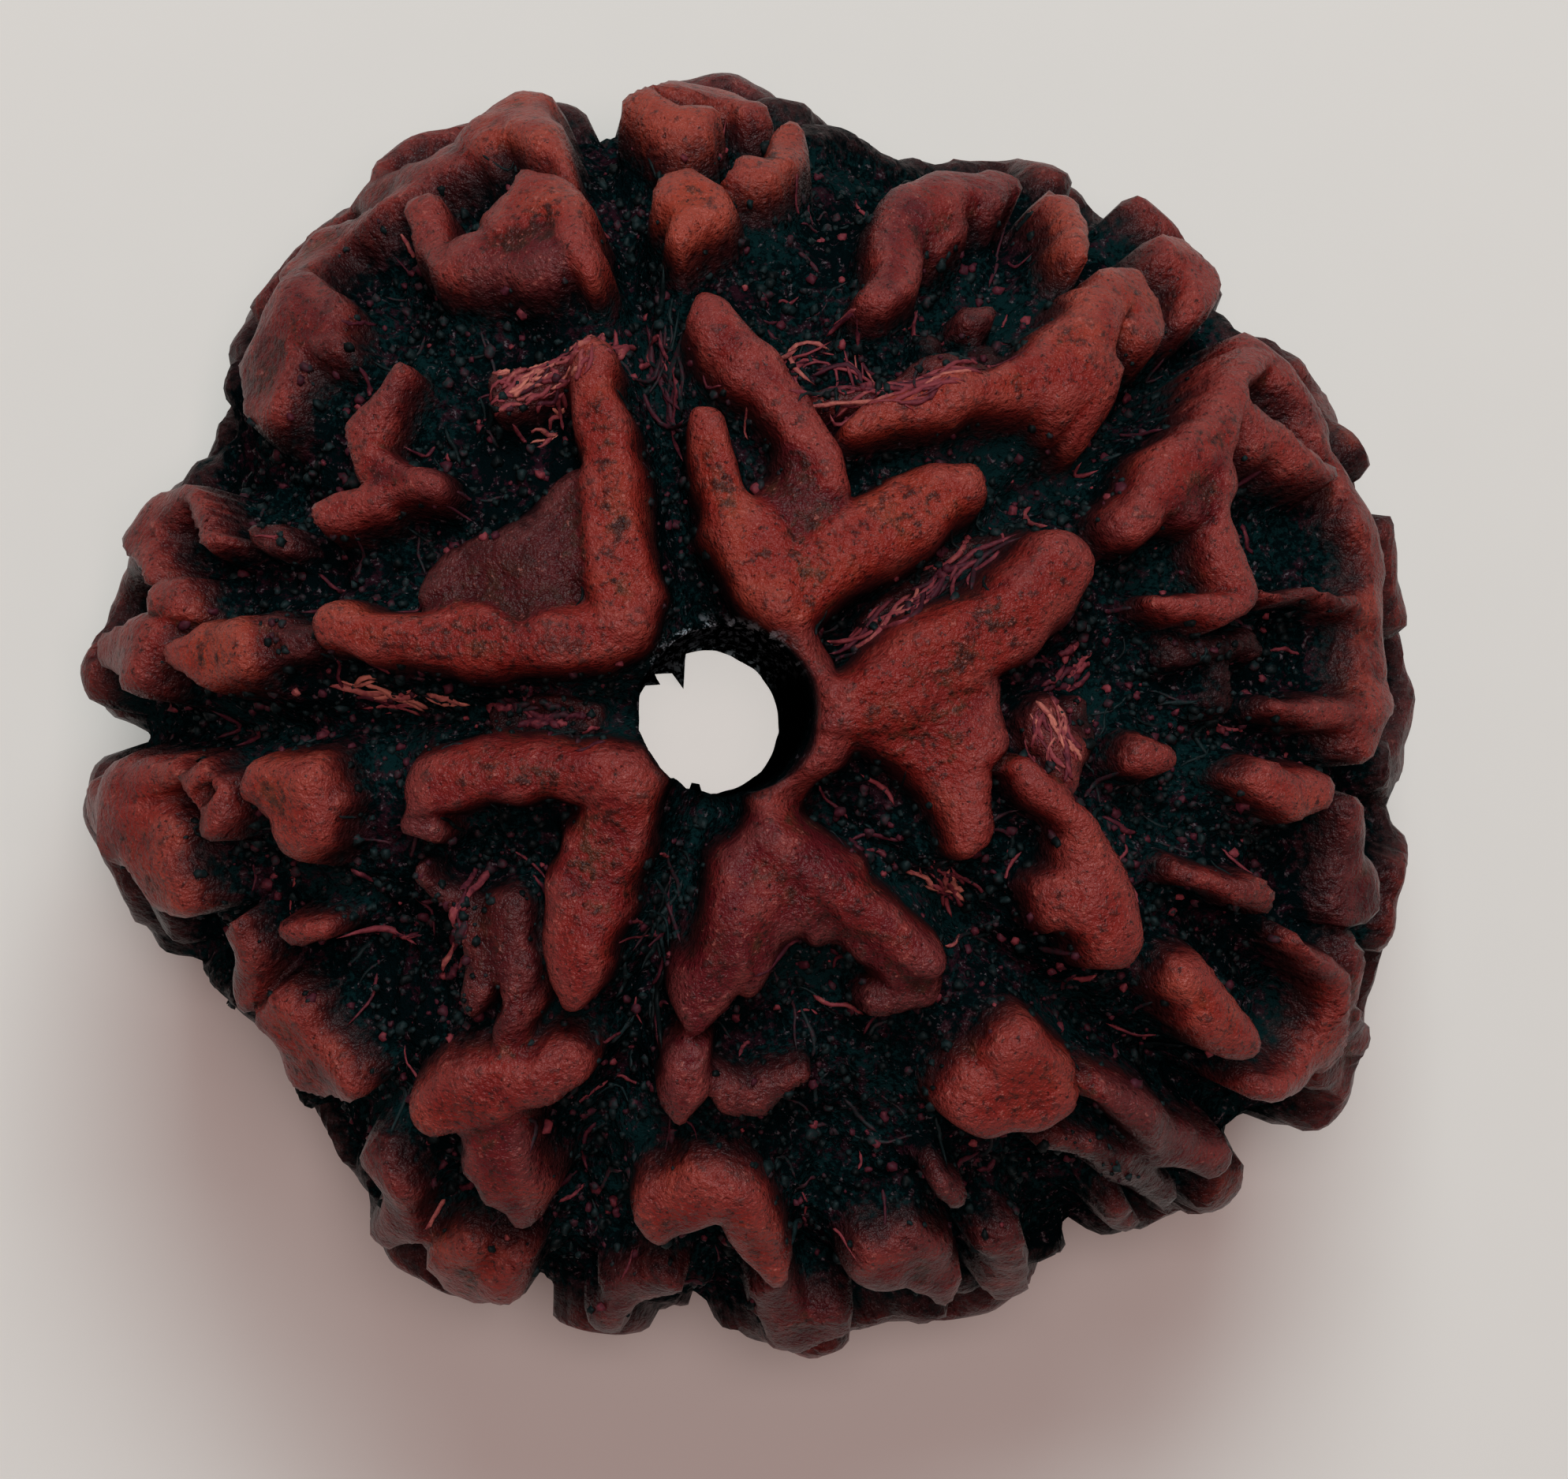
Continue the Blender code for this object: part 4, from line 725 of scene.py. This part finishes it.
def colour(red, green, blue):
    return (red, green, blue, 1.0)


stoneLook = {
    "orange": colour(0.275, 0.034, 0.017),
    "redBrown": colour(0.190, 0.0155, 0.0118),
    "purpleRed": colour(0.090, 0.0070, 0.0100),
    "shade": colour(0.034, 0.0062, 0.0052),
    "dull": colour(0.028, 0.0075, 0.0045),
    "flank": colour(0.022, 0.0038, 0.0045),
    "olive": colour(0.046, 0.021, 0.0095),
    "pit": colour(0.012, 0.004, 0.004),
    "glint": colour(0.42, 0.125, 0.100),
    # pale pink for the crests: partly wear, partly a painted sheen
    "dustAndSheen": colour(0.30, 0.105, 0.090),
    "hollow": colour(0.0008, 0.0032, 0.0038),
    "hollowTeal": colour(0.003, 0.015, 0.016),
    "hollowPurple": colour(0.028, 0.005, 0.011),
    "hollowGlint": colour(0.10, 0.085, 0.095),
    "holeWall": colour(0.001, 0.0030, 0.0034),
    "wallGlintSpeck": colour(0.42, 0.50, 0.55),
    "ridgeRoughness": 0.38, "roughnessSpread": 0.3, "hollowRoughness": 0.6,
    "ridgeShine": 0.17, "hollowShine": 0.0,
    "bumpStrength": 0.9, "bumpHeight": 0.12,
    "bumps": {"fine": 0.3, "speck": 0.7, "patch": 0.6, "grit": 0.35},
    "crestClear": 0.06,          # how far crests keep the mottle away
    "leastDull": 0.35,           # share of the dull colour where its patches are thinnest
    "northWall": (0.3, 0.9),     # where the pale specks of the hole's wall, grit with painted glints, start and are full
    "streakDraw": 0.08,          # how far those specks are drawn out along the hole
    "noises": {                  # size in millimetres, detail, roughness and distortion
        "broad": (2.2, 2.0), "patch": (0.6, 4.0, 0.62, 0.4), "blotch": (0.9, 5.0, 0.7, 0.8),
        "speck": (0.15, 3.0, 0.65), "grit": (0.10, 2.0, 0.7), "fine": (0.065, 2.0, 0.6),
        "streak": (0.13, 3.0, 0.7),
    },
    "layers": {                  # where a layer starts and is full, its strength, how far noises move it
        "redBrown": (0.1, 0.6, 1.0, {"broad": 0.9, "patch": 0.9}),
        "orange": (0.55, 1.1, 1.0, {"broad": 0.9, "patch": 0.9}),
        "inner": (0.8, -0.2, 1.0, {}),
        "olive": (0.42, 0.68, 0.8, {"speck": 0.9}),
        "dull": (0.12, -0.05, 1.0, {"speck": 0.4}),
        "dullPatch": (0.36, 0.6, 0.6, {"speck": 0.8}),
        "mottle": (0.46, 0.7, 0.8, {"speck": 0.7}),
        "darkSpeck": (0.54, 0.68, 0.6, {}),
        # pale crests, partly wear and partly a painted sheen
        "wornAndSheen": (0.6, 1.5, 0.14, {"patch": 1.6, "speck": 1.2}),
        "pit": (0.4, 0.3, 0.8, {}),
        "glint": (0.63, 0.72, 0.4, {"patch": 0.3}),
        "flank": (0.87, 0.44, 0.95, {"patch": 0.5, "speck": 0.45}),
        "hollow": (0.55, 0.2, 1.0, {"patch": 0.5, "speck": 0.45}),
        "hollowTeal": (0.45, 0.65, 0.8, {"broad": 1.0}),
        "hollowPurple": (0.52, 0.74, 0.55, {"speck": 1.0}),
        "hollowSpeck": (0.56, 0.68, 1.0, {}),
        "hollowGlint": (0.5, 0.62, 0.8, {}),
        "wallStreak": (0.5, 0.62, 1.0, {}),
    },
}


def newMaterial(name):
    material = bpy.data.materials.new(name)
    material.use_nodes = True
    material.node_tree.nodes.clear()
    return material, Wire(material.node_tree)


def finishMaterial(maker, sockets):
    shader = maker.make("ShaderNodeBsdfPrincipled", {}, sockets)
    maker.make("ShaderNodeOutputMaterial", {}, {"Surface": shader})


def stoneMaterial():
    # red-brown seed stone: mottled warm crests with pale wear and a painted sheen, dark red flanks,
    # near-black granular hollows
    look = stoneLook
    material, maker = newMaterial("seedStone")
    where = maker.make("ShaderNodeTexCoord", {}, {}, 3)
    drawn = maker.make("ShaderNodeMapping", {}, {"Vector": where, "Scale": (1.0, 1.0, look["streakDraw"])})
    ridge, warmth, crest, hole = (maker.field(name) for name in ("ridge", "warmth", "crest", "hole"))
    noises = {name: maker.noise(drawn if name == "streak" else where, *numbers)
              for name, numbers in look["noises"].items()}

    def layer(name, base):
        # the base moved by the layer's noises, then a smooth step
        start, end, strength, moves = look["layers"][name]
        for noise, move in moves.items():
            base = base + (noises[noise] - 0.5) * move
        return base.between(start, end, strength)

    body = maker.tint(layer("redBrown", warmth), look["purpleRed"], look["redBrown"])
    body = maker.tint(layer("orange", warmth), body, look["orange"])
    body = maker.tint(layer("inner", crest) * layer("olive", noises["patch"]), body, look["olive"])
    dull = layer("dull", warmth) * (look["leastDull"] + layer("dullPatch", noises["patch"]))
    body = maker.tint(dull, body, look["dull"])
    mottle = layer("mottle", noises["blotch"] - crest * look["crestClear"])
    body = maker.tint(mottle, body, look["shade"])
    body = maker.tint(layer("darkSpeck", noises["speck"]), body, look["flank"])
    # pale pink on convex crests: partly wear, partly a painted sheen
    body = maker.tint(layer("wornAndSheen", crest), body, look["dustAndSheen"])
    body = maker.tint(layer("pit", noises["grit"]), body, look["pit"])
    body = maker.tint(layer("glint", noises["grit"]), body, look["glint"])
    # darker down each ridge's flanks towards the hollows
    body = maker.tint(layer("flank", ridge), body, look["flank"])

    dark = maker.tint(layer("hollowTeal", noises["grit"]), look["hollow"], look["hollowTeal"])
    dark = maker.tint(layer("hollowPurple", noises["patch"]), dark, look["hollowPurple"])
    dark = maker.tint(hole, dark, look["holeWall"])
    start, end = look["northWall"]
    north = maker.make("ShaderNodeSeparateXYZ", {}, {0: where}, 1).between(start * mm, end * mm)
    # pale specks on the north side of the hole's wall: grit with painted glints
    dark = maker.tint(hole * north * layer("wallStreak", noises["streak"]), dark, look["wallGlintSpeck"])
    glint = layer("hollowSpeck", noises["speck"]) * layer("hollowGlint", noises["fine"])
    dark = maker.tint(glint, dark, look["hollowGlint"])

    grain = sum(noises[name] * share for name, share in look["bumps"].items())
    bump = maker.make("ShaderNodeBump", {}, {
        "Strength": look["bumpStrength"], "Distance": look["bumpHeight"] * mm, "Height": grain})
    top = maker.make("ShaderNodeBsdfPrincipled", {}, {
        "Base Color": body, "Normal": bump, "Specular IOR Level": look["ridgeShine"],
        "Roughness": look["ridgeRoughness"] + (noises["speck"] - 0.5) * look["roughnessSpread"]})
    deep = maker.make("ShaderNodeBsdfPrincipled", {}, {
        "Base Color": dark, "Normal": bump, "Specular IOR Level": look["hollowShine"],
        "Roughness": look["hollowRoughness"]})
    hollow = layer("hollow", ridge)
    both = maker.make("ShaderNodeMixShader", {}, {0: hollow + hole - hollow * hole, 1: top, 2: deep})
    maker.make("ShaderNodeOutputMaterial", {}, {"Surface": both})
    return material


def makeStone():
    # the fine stone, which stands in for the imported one
    surface, fields = stoneGrid()
    columns, rows = surface.shape[:2]
    bend = convexity(surface, grid["crestSteps"]) / mm / grid["crestHeight"]
    fields["crest"] = np.clip(bend, -grid["crestLimit"], grid["crestLimit"])
    faces = gridFaces(columns, rows, True, True)
    stone = makeMesh("ridgedStone", surface.reshape(-1, 3), faces, stoneMaterial(), fields)
    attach(stone, "root")
    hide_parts("rudraksha_bead")
    print("stone:", columns, "columns,", rows, "rows")


# Torn fibres in the furrows and hollows: middle of a patch, its spread along and across, heading in
# degrees, length, radius, curl per millimetre, count, and tone from 0, near black, to 1, pale pink.
fibrePatches = {
    "north east furrow": ((3.4, 2.0), (1.7, 0.20), 36.0, 1.5, 0.045, 0.0, 26, 0.6),
    "south east furrow": ((3.7, -2.9), (0.5, 0.30), -40.0, 0.9, 0.05, 0.0, 12, 0.7),
    "west strand": ((-5.7, 0.25), (0.8, 0.25), 176.0, 1.0, 0.055, 0.0, 14, 0.8),
    "west furrow": ((-2.9, -0.15), (0.9, 0.30), 176.0, 0.7, 0.06, 0.0, 22, 0.42),
    "south furrow": ((-1.1, -4.2), (1.7, 0.22), -98.0, 1.4, 0.045, 0.0, 18, 0.22),
    "north furrow": ((-0.9, 5.6), (1.6, 0.30), 96.0, 1.8, 0.045, 0.0, 20, 0.35),
    "torn patch": ((-3.0, 5.35), (0.9, 0.85), 25.0, 0.6, 0.04, 0.0, 70, 0.82),
    "torn edge": ((-2.0, 5.9), (0.7, 0.35), 60.0, 0.8, 0.055, 0.0, 20, 0.7),
    "ring": ((1.74, 5.75), (0.2, 0.20), 0.0, 1.9, 0.04, 1.45, 26, 0.68),
    "ring strands": ((2.6, 4.95), (1.3, 0.30), 8.0, 1.6, 0.04, 0.0, 24, 0.66),
    "chip": ((5.1, -0.45), (0.6, 0.50), 100.0, 0.7, 0.04, 0.0, 30, 0.72),
    "pink strip": ((-4.4, -3.5), (0.9, 0.30), -105.0, 0.8, 0.06, 0.0, 22, 0.55),
    "purple patch": ((5.85, 0.65), (0.6, 0.40), 40.0, 0.6, 0.06, 0.0, 20, 0.5),
    "west line": ((-5.9, -4.0), (0.3, 0.03), -8.0, 1.2, 0.045, 0.0, 4, 0.62),
    "south west line": ((-4.3, -8.3), (0.2, 0.03), 4.0, 0.8, 0.05, 0.0, 3, 0.5),
}

scatter = {              # loose fibres and crumbs over the hollows of the whole upper face
    "reach": 10.2, "innerShare": 0.03, "highest": 0.62, "leastTilt": 0.02,
    "fibres": 380, "fibreLength": 0.8, "fibreRadius": 0.032, "stretch": 1.25,
    "looseLength": (0.4, 1.4), "looseRadius": (0.6, 1.5), "looseTone": (1.5, 3.0),
    "patchTurn": 0.25, "patchLength": (0.45, 1.2), "patchRadius": (0.5, 1.3), "patchTone": 0.14,
    "ringWidth": (0.75, 1.2),
    "crumbs": 4000, "crumbSize": (0.03, 0.11), "crumbShare": (0.5, 1.0), "crumbTone": (1.0, 4.3),
    "crumbProfile": (0.0, 0.8, 1.0, 0.75, 0.0), "fibreEnd": 0.25, "uneven": (0.5, 1.4),
    "crumbLength": 3.0,      # times the crumb's radius
    "waveTurn": 0.45, "waves": 5, "sunk": 0.4,
    "fibrePoints": 9, "crumbPoints": 5, "fibreSides": 5, "crumbSides": 6, "seed": 77,
}

shredLook = {
    "black": colour(0.0012, 0.0032, 0.0036),
    "teal": colour(0.006, 0.015, 0.016),
    "purple": colour(0.050, 0.008, 0.015),
    "pink": colour(0.180, 0.030, 0.038),
    "pale": colour(0.44, 0.14, 0.105),
    "roughness": 0.6, "shine": 0.12, "grainSize": 0.12, "grainShare": 0.5,
    "bumpStrength": 0.4, "bumpHeight": 0.05,
    "tones": {"teal": (0.0, 0.22), "purple": (0.2, 0.45), "pink": (0.45, 0.72), "pale": (0.75, 1.05)},
}


def shredMaterial():
    # torn fibre by its tone: black, teal grey, purple, pink and pale, each a little mottled
    look = shredLook
    material, maker = newMaterial("tornFibre")
    where = maker.make("ShaderNodeTexCoord", {}, {}, 3)
    grain = maker.noise(where, look["grainSize"], 3.0, 0.6)
    tone = maker.field("tone") + (grain - 0.5) * look["grainShare"]
    body = look["black"]
    for name, (start, end) in look["tones"].items():
        body = maker.tint(tone.between(start, end), body, look[name])
    bump = maker.make("ShaderNodeBump", {}, {
        "Strength": look["bumpStrength"], "Distance": look["bumpHeight"] * mm, "Height": grain})
    finishMaterial(maker, {"Base Color": body, "Roughness": look["roughness"], "Normal": bump,
                           "Specular IOR Level": look["shine"]})
    return material


def wormFaces(sides, rings):
    # triangles of a tube of rings whose first and last ring are single points
    index = np.arange(rings * sides).reshape(rings, sides) - sides + 1
    index[0] = 0
    index[-1] = (rings - 2) * sides + 1
    right = np.roll(index, -1, axis=1)
    lower = np.stack([index[:-1], right[:-1], right[1:]], axis=-1).reshape(-1, 3)
    upper = np.stack([index[:-1], right[1:], index[1:]], axis=-1).reshape(-1, 3)
    faces = np.vstack([lower, upper])[:, ::-1]
    return faces[(faces[:, 0] != faces[:, 1]) & (faces[:, 1] != faces[:, 2]) & (faces[:, 2] != faces[:, 0])]


def worms(paths, radii, sides, seed):
    # circles round each path, square to its direction, with uneven radii, closed to a point at both ends
    count, rings = radii.shape
    ahead = np.gradient(paths, axis=1)
    ahead /= np.maximum(np.linalg.norm(ahead, axis=-1, keepdims=True), 1e-9)
    up = crownNormal(paths)
    aside = np.cross(ahead, up)
    aside /= np.maximum(np.linalg.norm(aside, axis=-1, keepdims=True), 1e-9)
    up = np.cross(aside, ahead)
    angle = np.linspace(0, 2 * math.pi, sides, endpoint=False)
    uneven = np.random.default_rng(seed).uniform(*scatter["uneven"], (count, rings, sides))
    reach = (radii[..., None] * uneven)[..., None]
    circles = paths[:, :, None] + reach * (np.cos(angle)[:, None] * aside[:, :, None]
                                           + np.sin(angle)[:, None] * up[:, :, None])
    middle = circles[:, 1:-1].reshape(count, -1, 3)
    points = np.concatenate([paths[:, :1], middle, paths[:, -1:]], axis=1)
    faces = wormFaces(sides, rings)[None] + (np.arange(count) * points.shape[1])[:, None, None]
    return points, faces.reshape(-1, 3)


def onStone(plan):
    # points of the stone's surface under plan points, and the ridge share there
    turn, tilt = planAngles(plan[..., 0], plan[..., 1])
    surface, fields = stoneSurface(turn, np.maximum(tilt, scatter["leastTilt"]))
    return surface, fields["ridge"]


def fibrePaths():
    # bent plan lines: the direction turns by the curl and by a slow wave; a curled patch lies round a ring
    draw = np.random.default_rng(scatter["seed"])
    steps = np.linspace(-0.5, 0.5, scatter["fibrePoints"])
    plans, radii, tones = [], [], []
    for middle, spread, heading, length, radius, curl, count, tone in fibrePatches.values():
        ahead = math.radians(heading)
        along, across = draw.normal(0, 0.5, (2, count)) * np.array(spread)[:, None]
        start = np.array(middle) + np.stack([along * math.cos(ahead) - across * math.sin(ahead),
                                             along * math.sin(ahead) + across * math.cos(ahead)], axis=-1)
        direction = ahead + draw.normal(0, scatter["patchTurn"], count)
        if curl:
            direction = draw.uniform(0, 2 * math.pi, count)
            outward = np.stack([np.sin(direction), -np.cos(direction)], axis=-1)
            start = start + outward * draw.uniform(*scatter["ringWidth"], (count, 1)) / curl
        lengths = length * draw.uniform(*scatter["patchLength"], count)
        plans.append(bentLines(start, direction, lengths, curl, steps, draw))
        radii.append(radius * draw.uniform(*scatter["patchRadius"], count))
        tones.append(tone + draw.normal(0, scatter["patchTone"], count))
    count = scatter["fibres"]
    start = scatteredSpots(count, draw)
    lengths = scatter["fibreLength"] * draw.uniform(*scatter["looseLength"], count)
    plans.append(bentLines(start, draw.uniform(0, 2 * math.pi, count), lengths, 0.0, steps, draw))
    radii.append(scatter["fibreRadius"] * draw.uniform(*scatter["looseRadius"], count))
    tones.append(draw.beta(*scatter["looseTone"], count))
    return np.concatenate(plans), np.concatenate(radii), np.concatenate(tones)


def bentLines(start, direction, lengths, curl, steps, draw):
    # plan lines through the start points, whose direction changes evenly by the curl and in one wave
    phase = draw.uniform(0, 2 * math.pi, (len(start), 1))
    wave = scatter["waveTurn"] * np.sin(scatter["waves"] * steps + phase)
    turning = direction[:, None] + curl * steps * lengths[:, None] + wave
    step = (lengths / len(steps))[:, None]
    ahead = np.stack([np.cos(turning), np.sin(turning)], axis=-1)
    line = np.cumsum(ahead * step[..., None], axis=1)
    return start[:, None] + line - line[:, len(steps) // 2, None]


def scatteredSpots(count, draw):
    # random plan points in the hollows of the upper face
    spots = np.empty((0, 2))
    while len(spots) < count:
        turn = draw.uniform(-math.pi, math.pi, 3 * count)
        reach = scatter["reach"] * np.sqrt(draw.uniform(scatter["innerShare"], 1, 3 * count))
        plan = np.stack([reach * np.cos(turn), reach * np.sin(turn)], axis=-1)
        _, ridge = onStone(plan)
        spots = np.vstack([spots, plan[ridge < scatter["highest"]]])
    return spots[:count]


def pathLength(paths):
    # the steps of each path added up
    return np.linalg.norm(np.diff(paths, axis=1), axis=-1).sum(axis=1)


def layWorms(name, material, plan, radius, profile, sides, tone, seed):
    # tubes along the stone under plan lines, smoothed over its grain and half sunk in it; where the stone
    # is steep they are drawn together to the stretch that is allowed
    paths, _ = onStone(plan)
    for _ in range(2):
        paths[:, 1:-1] = (paths[:, :-2] + 2 * paths[:, 1:-1] + paths[:, 2:]) / 4
    steep = pathLength(paths) / pathLength(plan)
    middle = paths[:, paths.shape[1] // 2, None]
    paths = middle + (paths - middle) * np.minimum(1, scatter["stretch"] / steep)[:, None, None]
    paths += crownNormal(paths) * radius[:, None, None] * scatter["sunk"]
    points, faces = worms(paths, radius[:, None] * profile, sides, seed)
    points += np.array([*crown["holeFromMiddle"], crown["halfHeight"] - crown["flatDepth"]])
    tones = np.repeat(tone, points.shape[1])
    piece = makeMesh(name, points.reshape(-1, 3) * mm, faces, material, {"tone": tones})
    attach(piece, "root")
    print(name + ":", len(plan))


def makeShreds():
    # torn fibres and crumbs lying on the stone
    material = shredMaterial()
    plan, radius, tone = fibrePaths()
    ends = scatter["fibreEnd"], math.pi - scatter["fibreEnd"]
    profile = np.sin(np.linspace(*ends, scatter["fibrePoints"])) ** 0.5
    sides, seed = scatter["fibreSides"], scatter["seed"]
    layWorms("tornFibres", material, plan, radius, profile, sides, tone, seed + 1)

    draw = np.random.default_rng(seed + 2)
    count = scatter["crumbs"]
    size = draw.uniform(*scatter["crumbSize"], count) * draw.uniform(*scatter["crumbShare"], count)
    steps = np.linspace(-1, 1, scatter["crumbPoints"])
    spots = scatteredSpots(count, draw)
    lengths = scatter["crumbLength"] * size
    plan = bentLines(spots, draw.uniform(0, 2 * math.pi, count), lengths, 0.0, steps, draw)
    profile = np.array(scatter["crumbProfile"])
    tone = draw.beta(*scatter["crumbTone"], count)
    layWorms("crumbs", material, plan, size, profile, scatter["crumbSides"], tone, seed + 3)


studio = {
    "floorColour": colour(0.72, 0.70, 0.665),
    "floorSize": 4.0, "floorLines": 9, "floorRoughness": 0.9, "floorShine": 0.1,
    "speckleSize": 1.5, "speckleTone": 0.985,
    "cameraPlace": (-2.38, -1.35, 98.55), "cameraAim": (0.55, -0.52, 8.55), "lens": 125.0, "sensor": 36.0,
    "lightAim": (0.0, 0.0, 8.0),
    "roomColour": colour(1.0, 0.60, 0.53), "roomStrength": 0.13,
    "glowMiddle": (-0.36, 0.0), "glowRadius": 1.9, "glowInner": 0.8, "glow": 0.51,
}

lights = {               # place and side length in millimetres, power in watts, colour
    "main": ((12.0, 142.0, 240.0), 110.0, 0.515, (0.79, 0.978, 1.0)),
    "overhead": ((0.0, 5.0, 240.0), 50.0, 0.215, (1.0, 0.80, 0.79)),
}


def makeFloor():
    # a wide square at the height the stone stands on, which glows under the hole as the lit paper does
    side = studio["floorSize"] / 2
    material, maker = newMaterial("paleFloor")
    where = maker.make("ShaderNodeTexCoord", {}, {}, 3)
    speckle = maker.noise(where, studio["speckleSize"])
    darker = tuple(studio["speckleTone"] * part for part in studio["floorColour"])
    paper = maker.tint(speckle, studio["floorColour"], darker)
    centred = maker.make("ShaderNodeMapping", {}, {
        "Vector": where, "Location": (-studio["glowMiddle"][0] * mm, -studio["glowMiddle"][1] * mm, 0.0)})
    away = maker.make("ShaderNodeVectorMath", {"operation": "LENGTH"}, {0: centred}, 1)
    edge = studio["glowRadius"] * mm
    below = away.between(edge, studio["glowInner"] * edge)
    glow = maker.tint(below, colour(0, 0, 0), studio["floorColour"])
    finishMaterial(maker, {
        "Base Color": paper, "Roughness": studio["floorRoughness"],
        "Specular IOR Level": studio["floorShine"],
        "Emission Color": glow, "Emission Strength": studio["glow"] / studio["floorColour"][0]})
    line = np.linspace(-side, side, studio["floorLines"])
    x, y = np.meshgrid(line, line, indexing="ij")
    points = np.stack([x, y, np.zeros_like(x)], axis=-1)
    faces = gridFaces(len(line), len(line), False, False)[:, ::-1]
    floor = makeMesh("floor", points.reshape(-1, 3), faces, material)


def aimedAt(target, place):
    # a turn that points an object's -Z from its place to the target and keeps its +X level with the photo
    back = (Vector(place) - Vector(target)).normalized()
    right = Vector((0.0, 1.0, 0.0)).cross(back).normalized()
    return Matrix((right, back.cross(right), back)).transposed().to_euler()


def makeLights():
    for name, (place, size, power, tint) in lights.items():
        lamp = bpy.data.lights.new(name, "AREA")
        lamp.shape = "SQUARE"
        lamp.size = size * mm
        lamp.energy = power
        lamp.color = tint
        light = bpy.data.objects.new(name, lamp)
        light.location = [part * mm for part in place]
        light.rotation_euler = aimedAt([part * mm for part in studio["lightAim"]], light.location)
        bpy.context.scene.collection.objects.link(light)
    world = bpy.data.worlds.new("room")
    world.use_nodes = True
    room = world.node_tree.nodes["Background"]
    room.inputs["Color"].default_value = studio["roomColour"]
    room.inputs["Strength"].default_value = studio["roomStrength"]
    bpy.context.scene.world = world


def makeCamera():
    lens = bpy.data.cameras.new("camera")
    lens.lens = studio["lens"]
    lens.sensor_width = studio["sensor"]
    lens.clip_start = 5 * mm
    camera = bpy.data.objects.new("camera", lens)
    camera.location = [part * mm for part in studio["cameraPlace"]]
    camera.rotation_euler = aimedAt([part * mm for part in studio["cameraAim"]], camera.location)
    bpy.context.scene.collection.objects.link(camera)
    bpy.context.scene.camera = camera


bpy.context.scene.view_settings.view_transform = "Standard"
makeStone()
makeShreds()
makeFloor()
makeLights()
makeCamera()
print("floor, lights and camera: done")
